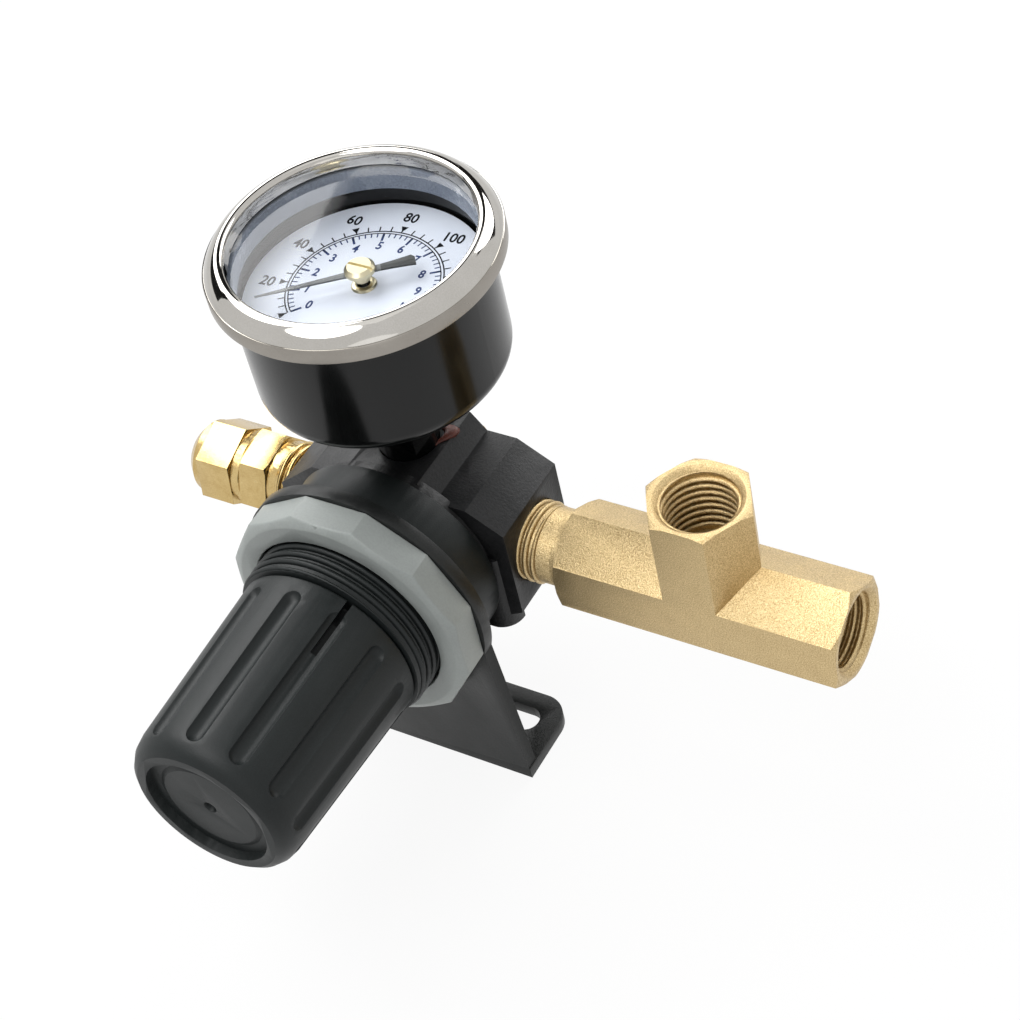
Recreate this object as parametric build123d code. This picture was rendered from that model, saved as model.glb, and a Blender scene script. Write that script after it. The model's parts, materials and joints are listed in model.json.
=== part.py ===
from build123d import *
import math
import os

# Inline air pressure regulator with a dial gauge, a mounting bracket, a brass tee and a tube fitting.
# X runs with the air from inlet to outlet, -Y points to the adjusting knob and +Z to the gauge.
# The origin is on the underside of the bracket foot, midway between its two slots.
# All sizes are in millimetres.

# Clearances
thread_gap = 0.05          # radial gap between a screwed or pressed piece and its hole
slide_gap = 0.08           # radial gap of a turning or sliding fit
seat_gap = 0.05            # face to face gap of pieces that bear on each other and move
clear_gap = 0.3            # room between moving pieces that never bear on each other

# Place of the port, knob and gauge axes above the bracket foot
port_height = 35.5
slot_setback = 10.5

# Body, drawn as four bosses that cross
outlet_face = 20.0         # from the gauge axis to the outlet port face
inlet_face = 21.5          # from the gauge axis to the inlet port face
inlet_drop = 2.6           # how far the inlet axis lies below the outlet axis
port_face_half_height = 8.6
boss_shoulder = 14.0       # where the port boss starts to taper
boss_half_height = 12.2
gauge_boss_top = 15.4
gauge_boss_half_width = 6.2
boss_foot_width = 8.6
body_back = 8.4
body_front = 8.0
shoulder_half_width = 18.4 # rounded shoulders that stand out beside the skirt
shoulder_back = 5.6
shoulder_front = 9.4
shoulder_top = 2.5
shoulder_bottom = 12.5
shoulder_round = 3.6
port_bore_radius = 6.6
port_bore_depth = 10.5
gauge_bore_radius = 4.85
gauge_bore_depth = 8.4
passage_radius = 1.7
outlet_passage_front = 5.4
inlet_passage_back = 3.4

# Collar and bonnet, on the knob axis
collar_radius = 16.4
collar_front = 13.0
diaphragm_recess_radius = 11.6
diaphragm_recess_floor = 9.8
outlet_chamber_radius = 5.0
outlet_chamber_floor = 2.5
skirt_radius = 18.0
skirt_back = 9.6
skirt_front = 17.2
bonnet_thread_radius = 16.2
bonnet_front = 30.0
neck_radius = 11.7
neck_front = 46.0
neck_bead = 0.3
neck_bead_front = 33.5
neck_web = 2.4
spring_bore_radius = 9.3
guide_rib_width = 2.4
guide_rib_height = 0.9
lower_chamber_radius = 12.2
lower_chamber_front = 24.0

# Diaphragm and valve
diaphragm_thickness = 1.2
diaphragm_radius = 14.6
plate_radius = 9.6
plate_thickness = 1.6
plate_hub_radius = 5.6
plate_hub_height = 2.2
relief_stem_radius = 2.0
relief_flange_radius = 6.0
relief_flange_thickness = 1.2
relief_bore_radius = 0.7
valve_travel = 1.0
seat_sleeve_radius = 3.0
seat_flange_radius = 4.6
seat_flange_thickness = 1.0
seat_back = 2.0
orifice_radius = 1.9
poppet_stem_radius = 1.0
poppet_radius = 3.3
poppet_thickness = 1.3
poppet_seal_thickness = 1.0
poppet_tail_radius = 1.3
poppet_tail_end = 7.8
valve_chamber_radius = 5.2
valve_chamber_depth = 5.0
cap_thread_radius = 5.65
cap_head_across_flats = 14.0
cap_head_thickness = 3.0
cap_flange_radius = 7.6
cap_flange_thickness = 1.2
cap_pocket_floor = poppet_tail_end + valve_travel + 2 * clear_gap
cap_pocket_radius = poppet_radius + clear_gap
o_ring_section = 1.2
valve_spring_wire = 0.4
valve_spring_radius = 2.3

# Adjusting screw and what it drives
screw_radius = 3.0
screw_tip_front = 21.5
screw_collar_radius = 5.0
screw_collar_thickness = 1.7
washer_radius = 7.0
washer_thickness = 0.8
screw_drive_across_flats = 6.0
screw_drive_front = 56.0
ring_groove_radius = 2.5
ring_radius = 5.2
ring_thickness = 0.8
spring_nut_thickness = 4.0
spring_nut_front = 40.0
spring_nut_hub_radius = 5.4
spring_nut_hub_length = 2.6
regulating_spring_wire = 2.0
regulating_spring_radius = 7.2
regulating_spring_turns = 4.5

# Knob
knob_back = 30.3
knob_front = 64.0
knob_back_radius = 15.05
knob_front_radius = 14.0
knob_shoulder_front = 60.0
knob_ring_radius = 11.8
knob_recess_radius = 10.3
knob_disc_radius = 7.8
knob_recess_depth = 1.5
knob_disc_depth = 1.1
knob_dimple_radius = 1.1
knob_dimple_depth = 0.9
knob_bore_radius = 12.3
knob_bore_front = 58.5
knob_bore_taper = 6.0
knob_socket_radius = 5.6
knob_socket_back = 48.6
flute_count = 12
flute_radius = 1.7
flute_depth = 0.95
flute_back = 34.3
flute_front = 60.0
slit_width = 1.0
slit_front = 40.2
slit_step = 3               # every third flute has a slit
first_slit = 1

# Panel nut and bracket
nut_thickness = 5.4
nut_sides = 12
nut_corner_radius = 20.9
nut_chamfer = 1.2
nut_turn = 15.0
plate_gauge = 2.2
bracket_arch_radius = 21.0
bracket_waist_drop = 6.0
bracket_foot_half_width = 22.8
foot_back = 5.0
foot_corner = 4.5
slot_width = 4.7
slot_length = 9.0
slot_outer_end = 19.4

# Brass tee on the outlet
tee_across_flats = 15.0
tee_run_start = 27.0
tee_run_end = 73.5
tee_branch_x = 50.4
tee_branch_top = 20.1
tee_shank_radius = 6.55
tee_shank_end = 10.6
tee_neck_radius = 6.1
tee_neck_length = 1.6
tee_bore_radius = 4.0
tee_port_radius = 6.05
tee_port_depth = 13.0
tee_port_mouth_radius = 6.9
tee_chamfer_radius = 8.1

# Compression fitting on the inlet
fitting_shank_radius = 6.55
fitting_shank_end = 11.6
fitting_hex_start = 28.0
fitting_hex_end = 33.2
fitting_across_flats = 12.7
fitting_nose_radius = 4.6
fitting_nose_end = 39.6
fitting_bore_radius = 2.4
tube_radius = 3.18
tube_stop = 35.0
comp_nut_start = 33.5
comp_nut_end = 44.5
comp_nut_collar_radius = 6.1
comp_nut_collar_start = 35.2
comp_nut_collar_end = 41.6
comp_nut_web = 2.0
sleeve_radius = 3.9
sleeve_length = 2.4

# Plug in the spare gauge port
plug_length = 6.5
plug_socket_across_flats = 4.8
plug_socket_depth = 4.0

# Gauge case and stem, on the gauge axis
case_radius = 19.46
case_bottom = 31.3
case_wall = 0.8
case_round = 3.0
stem_hole_radius = 5.0
stem_square = 11.0
stem_square_bottom = 19.0
stem_thread_end = 8.0
stem_thread_radius = 4.8
stem_bore_radius = 1.2
socket_post_radius = 4.9
socket_arm_width = 6.0
socket_arm_edge = 0.8      # brass left round the tube's end
tube_mean_radius = 13.8
tube_section_width = 2.2
tube_section_height = 5.6
tube_floor_room = 0.9
tube_start_angle = -90.0
tube_sweep = 240.0

# Gauge movement, stacked upwards from the arm that holds the tube
plate_seat_gap = 0.1
movement_plate_thickness = 0.8
strap_half_width = 2.6
pillar_radius = 1.1
pillar_distance = 6.5
pillar_angles = (-64.0, 52.0)
arbor_radius = 0.6
pinion_teeth = 9
pinion_length = 1.7
pinion_rise = 0.9          # from the back plate to the pinion teeth
sector_teeth_full = 45
gear_module = 0.35
sector_thickness = 0.8
sector_rim = 1.3
sector_web = 2.2
sector_pivot_angle = 169.0
sector_tail = 4.5
link_thickness = 0.5
link_width = 1.8
link_rise = 0.5            # from the sector to the link
tip_lug_radius = 0.7
hairspring_rise = 0.3      # from the link to the hairspring
hairspring_height = 0.5
hairspring_thickness = 0.14
hairspring_pitch = 0.7
hairspring_turns = 4
hairspring_stud_radius = 0.4
front_plate_rise = 0.3     # from the hairspring to the front plate
scale_sweep = 270.0
scale_reading = 10.5       # pointer angle above zero at rest

# Dial, pointer, window and bezel
dial_post_length = 1.3
dial_room = 0.46           # between the dial and the case wall
dial_thickness = 0.5
dial_hole_radius = 1.4
pointer_lift = 2.3         # from the dial to the pointer
pointer_thickness = 0.35
pointer_length = 15.7
pointer_tail = 8.2
pointer_rest_angle = 218.0
hub_radius = 2.3
hub_height = 1.1
hub_collar_radius = 1.3
hub_neck_radius = 0.9
hub_headroom = 2.25        # from the hub to the top of the case
gasket_thickness = 0.8
gasket_width = 1.56
lens_inset = 0.36          # from the case's outside to the window's edge
lens_thickness = 1.6
bezel_overhang = 2.04      # from the case's outside to the bezel's
bezel_skirt = 1.1          # how far the bezel reaches down round the case
bezel_straight = 3.1       # height of the bezel's straight side
bezel_crown_inset = 1.5    # from the bezel's side to the top of its crown
bezel_crown_height = 1.9
bezel_crown_bulge = 0.435
bezel_lip_cover = 0.6      # how far the lip reaches over the window
bezel_lip_drop = 0.7
bezel_lip_bulge = 0.3

dial_radius = case_radius - case_wall - dial_room
gasket_inner_radius = case_radius - gasket_width
lens_radius = case_radius - lens_inset
bezel_radius = case_radius + bezel_overhang
bezel_crown_radius = bezel_radius - bezel_crown_inset
bezel_lip_radius = lens_radius - bezel_lip_cover
case_floor = case_bottom + case_wall
tube_middle_height = case_floor + tube_floor_room + tube_section_height / 2
socket_arm_top = tube_middle_height + tube_section_height / 2 + socket_arm_edge
back_plate_bottom = socket_arm_top + plate_seat_gap
pinion_bottom = back_plate_bottom + movement_plate_thickness + pinion_rise
pinion_top = pinion_bottom + pinion_length
sector_bottom = pinion_bottom + clear_gap
link_bottom = sector_bottom + sector_thickness + link_rise
tip_lug_top = link_bottom + link_thickness + clear_gap
hairspring_bottom = link_bottom + link_thickness + hairspring_rise
front_plate_bottom = hairspring_bottom + hairspring_height + front_plate_rise
dial_height = front_plate_bottom + movement_plate_thickness + dial_post_length + dial_thickness
pointer_height = dial_height + pointer_lift
case_top = pointer_height + pointer_thickness + hub_height + hub_headroom
bezel_bottom = case_top - bezel_skirt
lens_seat = case_top + gasket_thickness

at_ports = Pos(0, slot_setback, port_height)
cap_seat = body_back + o_ring_section * 0.6
screw_web_back = neck_front - neck_web


def knob_turned(points):
    """Solid turned on the knob axis from (radius, distance in front of the ports)."""
    outline = Polyline(*[(radius, -front) for radius, front in points], close=True)
    return revolve(make_face(outline), Axis.Y)


def gauge_turned(points):
    """Solid turned on the gauge axis from (radius, height)."""
    outline = Polyline(*points, close=True)
    return revolve(Plane.XZ * make_face(outline), Axis.Z)


def port_turned(points):
    """Solid turned on the port axis from (radius, place along X)."""
    outline = Polyline(*[(x, radius) for radius, x in points], close=True)
    return revolve(make_face(outline), Axis.X)


def port_cylinder(radius, start, end):
    return port_turned([(0, start), (radius, start), (radius, end), (0, end)])


def knob_cylinder(radius, back, front):
    return knob_turned([(0, back), (radius, back), (radius, front), (0, front)])


def gauge_cylinder(radius, bottom, top):
    return gauge_turned([(0, bottom), (radius, bottom), (radius, top), (0, top)])


def post(radius, x, y, bottom, top):
    return Pos(x, y, (bottom + top) / 2) * Cylinder(radius, top - bottom)


def port_hexagon(across_flats, start, end, turn=30.0):
    """Hexagon bar along the port axis, a flat towards the knob at a turn of 30 degrees."""
    section = RegularPolygon(across_flats / 2, 6, major_radius=False, rotation=turn)
    return extrude(Plane.YZ.offset(start) * section, end - start)


def knob_hexagon(across_flats, back, front):
    """Hexagon bar along the knob axis."""
    section = RegularPolygon(across_flats / 2, 6, major_radius=False)
    return extrude(Plane.XZ.offset(back) * section, front - back)


def coil(wire, radius, length, turns):
    """Round wire coil from height 0 to the length, with its ends inside that length."""
    path = Helix(pitch=(length - wire) / turns, height=length - wire, radius=radius)
    section = Plane(origin=path @ 0, z_dir=path % 0) * Circle(wire / 2)
    return Pos(0, 0, wire / 2) * sweep(section, path)


def body_outline():
    """Four crossing bosses seen from the knob, the inlet boss a little lower and longer."""
    top = [(-gauge_boss_half_width, gauge_boss_top), (gauge_boss_half_width, gauge_boss_top)]
    outlet = [
        (boss_foot_width, boss_half_height), (boss_shoulder, boss_half_height),
        (outlet_face, port_face_half_height), (outlet_face, -port_face_half_height),
        (boss_shoulder, -boss_half_height), (boss_foot_width, -boss_half_height)]
    bottom = [(gauge_boss_half_width, -gauge_boss_top), (-gauge_boss_half_width, -gauge_boss_top)]
    inlet = [
        (-boss_foot_width, -boss_half_height), (-boss_shoulder, -boss_half_height),
        (-inlet_face, -port_face_half_height - inlet_drop), (-inlet_face, port_face_half_height - inlet_drop),
        (-boss_shoulder, boss_half_height), (-boss_foot_width, boss_half_height)]
    return make_face(Polyline(*top, *outlet, *bottom, *inlet, close=True))


def body_shoulders():
    """Bar behind the skirt with rounded ends."""
    depth = shoulder_front - shoulder_back
    height = shoulder_top + shoulder_bottom
    bar = Box(2 * shoulder_half_width, depth, height)
    uprights = bar.edges().filter_by(Axis.Z).sort_by(Axis.Y)
    bar = fillet(uprights[:2], shoulder_round)
    return Pos(0, -(shoulder_front + shoulder_back) / 2, (shoulder_top - shoulder_bottom) / 2) * bar


def body():
    block = extrude(Plane.XZ.offset(-body_back) * body_outline(), body_back + body_front)
    shape = block + body_shoulders() + knob_cylinder(collar_radius, body_front - 1, collar_front)
    outlet_bore_end = outlet_face - port_bore_depth
    inlet_bore_end = inlet_face - port_bore_depth
    shape -= port_cylinder(port_bore_radius, outlet_bore_end, outlet_face)
    shape -= Pos(0, 0, -inlet_drop) * port_cylinder(port_bore_radius, -inlet_face, -inlet_bore_end)
    for side in (-1, 1):
        bore = gauge_cylinder(gauge_bore_radius, gauge_boss_top - gauge_bore_depth, gauge_boss_top)
        shape -= bore if side > 0 else Rot(180, 0, 0) * bore
    shape -= knob_turned([
        (0, outlet_chamber_floor), (outlet_chamber_radius, outlet_chamber_floor),
        (outlet_chamber_radius, diaphragm_recess_floor), (diaphragm_recess_radius, diaphragm_recess_floor),
        (diaphragm_recess_radius, collar_front), (0, collar_front)])
    seat_shoulder = seat_back - seat_flange_thickness
    cap_bore = cap_thread_radius + thread_gap
    sleeve_bore = seat_sleeve_radius + thread_gap
    shape -= knob_turned([
        (0, -body_back), (cap_bore, -body_back), (cap_bore, -valve_chamber_depth),
        (valve_chamber_radius, -valve_chamber_depth), (valve_chamber_radius, -seat_shoulder),
        (sleeve_bore, -seat_shoulder), (sleeve_bore, outlet_chamber_floor), (0, outlet_chamber_floor)])
    outlet_passage = Pos(outlet_bore_end / 2, -outlet_passage_front, 0) * Rot(0, 90, 0)
    shape -= outlet_passage * Cylinder(passage_radius, outlet_bore_end + 1)
    inlet_passage = Pos(-inlet_bore_end / 2, inlet_passage_back, -inlet_drop / 2) * Rot(0, 90, 0)
    shape -= inlet_passage * Cylinder(passage_radius, inlet_bore_end + 1)
    gauge_passage_length = 2 * (gauge_boss_top - gauge_bore_depth) + 1
    return shape - Pos(0, -outlet_passage_front, 0) * Cylinder(passage_radius * 0.7, gauge_passage_length)


def bonnet():
    seat = collar_front + diaphragm_thickness
    shape = knob_turned([
        (collar_radius + thread_gap, skirt_back), (skirt_radius, skirt_back), (skirt_radius, skirt_front),
        (bonnet_thread_radius, skirt_front), (bonnet_thread_radius, bonnet_front),
        (neck_radius, bonnet_front),
        (neck_radius, neck_bead_front - 1), (neck_radius + neck_bead, neck_bead_front),
        (neck_radius, neck_bead_front + 1), (neck_radius, neck_front),
        (screw_radius + slide_gap, neck_front), (screw_radius + slide_gap, screw_web_back),
        (spring_bore_radius, screw_web_back), (spring_bore_radius, lower_chamber_front),
        (lower_chamber_radius, lower_chamber_front - 2), (lower_chamber_radius, seat),
        (collar_radius + thread_gap, seat)])
    rib_length = screw_web_back - lower_chamber_front
    rib_middle = -(screw_web_back + lower_chamber_front) / 2
    for side in (-1, 1):
        rib = Box(guide_rib_height * 2, rib_length, guide_rib_width)
        shape += Pos(side * spring_bore_radius, rib_middle, 0) * rib & knob_cylinder(
            spring_bore_radius + 1, lower_chamber_front, screw_web_back)
    return shape


def diaphragm():
    return knob_turned([
        (relief_stem_radius + slide_gap, collar_front), (diaphragm_radius, collar_front),
        (diaphragm_radius, collar_front + diaphragm_thickness),
        (relief_stem_radius + slide_gap, collar_front + diaphragm_thickness)])


def diaphragm_plate():
    back = collar_front + diaphragm_thickness + seat_gap
    front = back + plate_thickness
    return knob_turned([
        (relief_stem_radius + thread_gap, back), (plate_radius, back), (plate_radius, front),
        (plate_hub_radius, front), (plate_hub_radius, front + plate_hub_height),
        (relief_stem_radius + thread_gap, front + plate_hub_height)])


def relief_seat():
    flange_front = collar_front - seat_gap
    flange_back = flange_front - relief_flange_thickness
    rivet = collar_front + diaphragm_thickness + plate_thickness + plate_hub_height
    return knob_turned([
        (relief_bore_radius, flange_back), (relief_flange_radius, flange_back),
        (relief_flange_radius, flange_front), (relief_stem_radius, flange_front),
        (relief_stem_radius, rivet), (relief_bore_radius, rivet)])


def valve_seat():
    shoulder = -(seat_back - seat_flange_thickness)
    return knob_turned([
        (orifice_radius, -seat_back), (seat_flange_radius, -seat_back), (seat_flange_radius, shoulder),
        (seat_sleeve_radius, shoulder), (seat_sleeve_radius, outlet_chamber_floor),
        (orifice_radius, outlet_chamber_floor)])


def poppet_seal():
    back = seat_back + seat_gap
    return knob_turned([
        (poppet_stem_radius + thread_gap, -back), (poppet_radius, -back),
        (poppet_radius, -back - poppet_seal_thickness),
        (poppet_stem_radius + thread_gap, -back - poppet_seal_thickness)])


def valve_poppet():
    disc_front = -(seat_back + seat_gap + poppet_seal_thickness)
    disc_back = disc_front - poppet_thickness
    tip = collar_front - seat_gap - relief_flange_thickness - seat_gap
    return knob_turned([
        (0, tip), (poppet_stem_radius * 0.5, tip), (poppet_stem_radius, tip - 1),
        (poppet_stem_radius, disc_front), (poppet_radius, disc_front), (poppet_radius, disc_back),
        (poppet_tail_radius, disc_back), (poppet_tail_radius, -poppet_tail_end), (0, -poppet_tail_end)])


def valve_spring():
    start = seat_back + seat_gap + poppet_seal_thickness + poppet_thickness
    length = cap_pocket_floor - start
    return Pos(0, start, 0) * Rot(-90, 0, 0) * coil(valve_spring_wire, valve_spring_radius, length, 5)


def valve_cap():
    flange_back = cap_seat
    flange_end = flange_back + cap_flange_thickness
    shape = knob_turned([
        (0, -flange_end), (cap_flange_radius, -flange_end), (cap_flange_radius, -flange_back),
        (cap_thread_radius, -flange_back), (cap_thread_radius, -valve_chamber_depth),
        (cap_pocket_radius, -valve_chamber_depth), (cap_pocket_radius, -cap_pocket_floor),
        (0, -cap_pocket_floor)])
    return shape + knob_hexagon(cap_head_across_flats, -flange_end - cap_head_thickness, -flange_end)


def valve_cap_o_ring():
    middle = cap_thread_radius + thread_gap + o_ring_section / 2
    height = (cap_seat - body_back) / 2
    section = Pos(middle, body_back + height) * Ellipse(o_ring_section / 2, height)
    return revolve(section, Axis.Y)


def adjusting_screw():
    collar_front_face = screw_web_back - washer_thickness - seat_gap
    collar_back_face = collar_front_face - screw_collar_thickness
    groove_back = neck_front + seat_gap
    shape = knob_turned([
        (0, screw_tip_front), (screw_radius - 0.6, screw_tip_front), (screw_radius, screw_tip_front + 0.6),
        (screw_radius, collar_back_face), (screw_collar_radius, collar_back_face),
        (screw_collar_radius, collar_front_face), (screw_radius, collar_front_face),
        (screw_radius, groove_back), (ring_groove_radius, groove_back),
        (ring_groove_radius, groove_back + ring_thickness + seat_gap),
        (screw_radius, groove_back + ring_thickness + seat_gap),
        (screw_radius, groove_back + ring_thickness + 1), (0, groove_back + ring_thickness + 1)])
    drive_back = groove_back + ring_thickness + 0.5
    return shape + knob_hexagon(screw_drive_across_flats, drive_back, screw_drive_front)


def thrust_washer():
    front = screw_web_back - seat_gap / 2
    back = front - washer_thickness
    return knob_turned([
        (screw_radius + slide_gap, back), (washer_radius, back), (washer_radius, front),
        (screw_radius + slide_gap, front)])


def retaining_ring():
    back = neck_front + seat_gap
    ring = knob_turned([
        (ring_groove_radius + thread_gap, back), (ring_radius, back), (ring_radius, back + ring_thickness),
        (ring_groove_radius + thread_gap, back + ring_thickness)])
    mouth = Pos(0, -back - ring_thickness / 2, ring_radius / 2)
    return ring - mouth * Box(ring_groove_radius * 1.7, ring_thickness * 2, ring_radius)


def spring_nut():
    back = spring_nut_front - spring_nut_thickness
    shape = knob_turned([
        (screw_radius + slide_gap, back - spring_nut_hub_length),
        (spring_nut_hub_radius, back - spring_nut_hub_length), (spring_nut_hub_radius, back),
        (spring_bore_radius - slide_gap, back), (spring_bore_radius - slide_gap, spring_nut_front),
        (screw_radius + slide_gap, spring_nut_front)])
    notch = Box(2 * (guide_rib_height + slide_gap), 2 * spring_nut_thickness, guide_rib_width + 2 * slide_gap)
    for side in (-1, 1):
        shape -= Pos(side * spring_bore_radius, -spring_nut_front + spring_nut_thickness / 2, 0) * notch
    return shape


def regulating_spring():
    back = collar_front + diaphragm_thickness + seat_gap + plate_thickness
    front = spring_nut_front - spring_nut_thickness
    wound = coil(regulating_spring_wire, regulating_spring_radius, front - back, regulating_spring_turns)
    return Pos(0, -back, 0) * Rot(90, 0, 0) * wound


def flute_cutter(index):
    """Round-ended groove that follows the taper of the knob's side."""
    slope = (knob_back_radius - knob_front_radius) / (knob_shoulder_front - knob_back)
    sink = flute_radius - flute_depth
    back_radius = knob_back_radius - slope * (flute_back - knob_back) + sink
    front_radius = knob_back_radius - slope * (flute_front - knob_back) + sink
    start = Vector(back_radius, -flute_back, 0)
    end = Vector(front_radius, -flute_front, 0)
    run = Plane(origin=start, z_dir=end - start)
    groove = extrude(run * Circle(flute_radius), (end - start).length)
    groove += Pos(*start) * Sphere(flute_radius)
    groove += Pos(*end) * Sphere(flute_radius)
    return Rot(0, index * 360 / flute_count, 0) * groove


def adjusting_knob():
    recess_floor = knob_front - knob_recess_depth
    disc_top = knob_front - knob_disc_depth
    shape = knob_turned([
        (knob_bore_radius, knob_back), (knob_back_radius - 0.3, knob_back),
        (knob_back_radius, knob_back + 0.3),
        (knob_front_radius, knob_shoulder_front), (knob_front_radius - 0.35, knob_shoulder_front + 1.8),
        (knob_front_radius - 1.15, knob_shoulder_front + 3.2), (knob_ring_radius, knob_front),
        (knob_recess_radius, knob_front), (knob_recess_radius, recess_floor),
        (knob_disc_radius + 0.8, recess_floor), (knob_disc_radius, disc_top),
        (knob_dimple_radius, disc_top), (knob_dimple_radius * 0.7, disc_top - knob_dimple_depth),
        (0, disc_top - knob_dimple_depth), (0, knob_bore_front),
        (knob_bore_radius - 1.6, knob_bore_front), (knob_bore_radius - 0.4, knob_bore_front - knob_bore_taper),
        (knob_bore_radius, neck_front + clear_gap)])
    shape += knob_cylinder(knob_socket_radius, knob_socket_back, knob_bore_front + 0.5)
    for index in range(flute_count):
        shape -= flute_cutter(index)
    for index in range(first_slit, flute_count, slit_step):
        slit = Pos(knob_back_radius, -(knob_back + slit_front) / 2, 0)
        slit *= Box(2 * (knob_back_radius - knob_bore_radius) + 1, slit_front - knob_back, slit_width)
        shape -= Rot(0, index * 360 / flute_count, 0) * slit
    socket_width = screw_drive_across_flats + 2 * slide_gap
    return shape - knob_hexagon(socket_width, knob_socket_back, screw_drive_front + clear_gap)


def panel_nut():
    back = skirt_front + plate_gauge
    front = back + nut_thickness
    section = RegularPolygon(nut_corner_radius, nut_sides, rotation=nut_turn)
    blank = extrude(Plane.XZ.offset(back) * section, nut_thickness)
    inner = bonnet_thread_radius + thread_gap
    turned = knob_turned([
        (inner, back), (nut_corner_radius, back), (nut_corner_radius, front - nut_chamfer * 0.8),
        (nut_corner_radius - nut_chamfer - 0.6, front), (inner, front)])
    return blank & turned


def mounting_bracket():
    back = skirt_front
    arch = Circle(bracket_arch_radius)
    lower = Polyline(
        (-bracket_arch_radius * 0.96, -bracket_waist_drop), (bracket_arch_radius * 0.96, -bracket_waist_drop),
        (bracket_foot_half_width, -port_height), (-bracket_foot_half_width, -port_height), close=True)
    plate = extrude(Plane.XZ.offset(back) * (arch + make_face(lower)), plate_gauge)
    plate -= knob_cylinder(bonnet_thread_radius + clear_gap / 2, back, back + plate_gauge)
    depth = back + plate_gauge - foot_back
    foot = Pos(0, -foot_back - depth / 2, plate_gauge / 2 - port_height)
    foot *= Box(2 * bracket_foot_half_width, depth, plate_gauge)
    shape = plate + foot
    uprights = shape.edges().filter_by(Axis.Z).sort_by(Axis.Y)
    shape = fillet(uprights[-2:], foot_corner)
    for side in (-1, 1):
        middle = side * (slot_outer_end - slot_length / 2)
        slot = extrude(SlotOverall(slot_length, slot_width), plate_gauge * 2, both=True)
        shape -= Pos(middle, -slot_setback, -port_height) * slot
    return shape


def outlet_tee():
    run = port_hexagon(tee_across_flats, tee_run_start, tee_run_end)
    blank = port_turned([
        (0, tee_run_start), (tee_chamfer_radius - 0.4, tee_run_start),
        (tee_chamfer_radius + 1, tee_run_start + 0.8),
        (tee_chamfer_radius + 1, tee_run_end - 0.8), (tee_chamfer_radius - 0.4, tee_run_end),
        (0, tee_run_end)])
    run &= blank
    branch_section = RegularPolygon(tee_across_flats / 2, 6, major_radius=False)
    branch = extrude(Pos(tee_branch_x, 0, 0) * branch_section, tee_branch_top)
    top = revolve(Plane.XZ * make_face(Polyline(
        (0, 0), (tee_chamfer_radius + 1, 0), (tee_chamfer_radius + 1, tee_branch_top - 0.8),
        (tee_chamfer_radius - 0.4, tee_branch_top), (0, tee_branch_top), close=True)), Axis.Z)
    branch &= Pos(tee_branch_x, 0, 0) * top
    shank = port_turned([
        (0, tee_shank_end), (tee_shank_radius - 0.7, tee_shank_end), (tee_shank_radius, tee_shank_end + 1.2),
        (tee_shank_radius, tee_run_start - tee_neck_length),
        (tee_neck_radius, tee_run_start - tee_neck_length),
        (tee_neck_radius, tee_run_start), (0, tee_run_start)])
    shape = run + branch + shank
    shape -= port_cylinder(tee_bore_radius, tee_shank_end, tee_run_end)
    shape -= port_turned([
        (0, tee_run_end - tee_port_depth), (tee_port_radius, tee_run_end - tee_port_depth),
        (tee_port_radius, tee_run_end - 0.8), (tee_port_mouth_radius, tee_run_end), (0, tee_run_end)])
    mouth = revolve(Plane.XZ * make_face(Polyline(
        (0, tee_branch_top - tee_port_depth), (tee_port_radius, tee_branch_top - tee_port_depth),
        (tee_port_radius, tee_branch_top - 0.8), (tee_port_mouth_radius, tee_branch_top),
        (0, tee_branch_top), close=True)), Axis.Z)
    shape -= Pos(tee_branch_x, 0, 0) * mouth
    return shape - post(tee_bore_radius, tee_branch_x, 0, 0, tee_branch_top)


def inlet_fitting():
    hexagon = port_hexagon(fitting_across_flats, -fitting_hex_end, -fitting_hex_start, turn=8.0)
    chamfer = fitting_across_flats / 2 + 0.5
    hexagon &= port_turned([
        (0, -fitting_hex_end), (chamfer, -fitting_hex_end), (chamfer + 1, -fitting_hex_end + 0.6),
        (chamfer + 1, -fitting_hex_start - 0.6), (chamfer, -fitting_hex_start), (0, -fitting_hex_start)])
    barrel = port_turned([
        (0, -fitting_nose_end), (fitting_nose_radius, -fitting_nose_end),
        (fitting_nose_radius, -fitting_hex_start), (tee_neck_radius, -fitting_hex_start),
        (tee_neck_radius, tee_neck_length - fitting_hex_start),
        (fitting_shank_radius, tee_neck_length - fitting_hex_start),
        (fitting_shank_radius, -fitting_shank_end - 1.2), (fitting_shank_radius - 0.7, -fitting_shank_end),
        (0, -fitting_shank_end)])
    shape = barrel + hexagon
    shape -= port_cylinder(fitting_bore_radius, -fitting_nose_end, -fitting_shank_end)
    shape -= port_cylinder(tube_radius + slide_gap, -fitting_nose_end, -tube_stop)
    return shape - port_turned([
        (0, -fitting_nose_end), (sleeve_radius + thread_gap, -fitting_nose_end),
        (tube_radius + slide_gap, -fitting_nose_end + 1.2), (0, -fitting_nose_end + 1.2)])


def compression_nut():
    hexagon = port_hexagon(fitting_across_flats, -comp_nut_collar_end, -comp_nut_collar_start, turn=20.0)
    turned = port_turned([
        (0, -comp_nut_end), (comp_nut_collar_radius - 1.6, -comp_nut_end),
        (comp_nut_collar_radius, -comp_nut_end + 1.6), (comp_nut_collar_radius, -comp_nut_start - 0.3),
        (comp_nut_collar_radius - 0.3, -comp_nut_start), (0, -comp_nut_start)])
    shape = hexagon + turned
    web_end = -comp_nut_end + comp_nut_web
    nose_bore = fitting_nose_radius + thread_gap
    shape -= port_cylinder(nose_bore, web_end + 1.0, -comp_nut_start)
    shape -= port_turned([
        (0, web_end), (sleeve_radius - 0.2, web_end), (nose_bore, web_end + 1.0), (0, web_end + 1.0)])
    return shape - port_cylinder(tube_radius + slide_gap, -comp_nut_end, -comp_nut_start)


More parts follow.
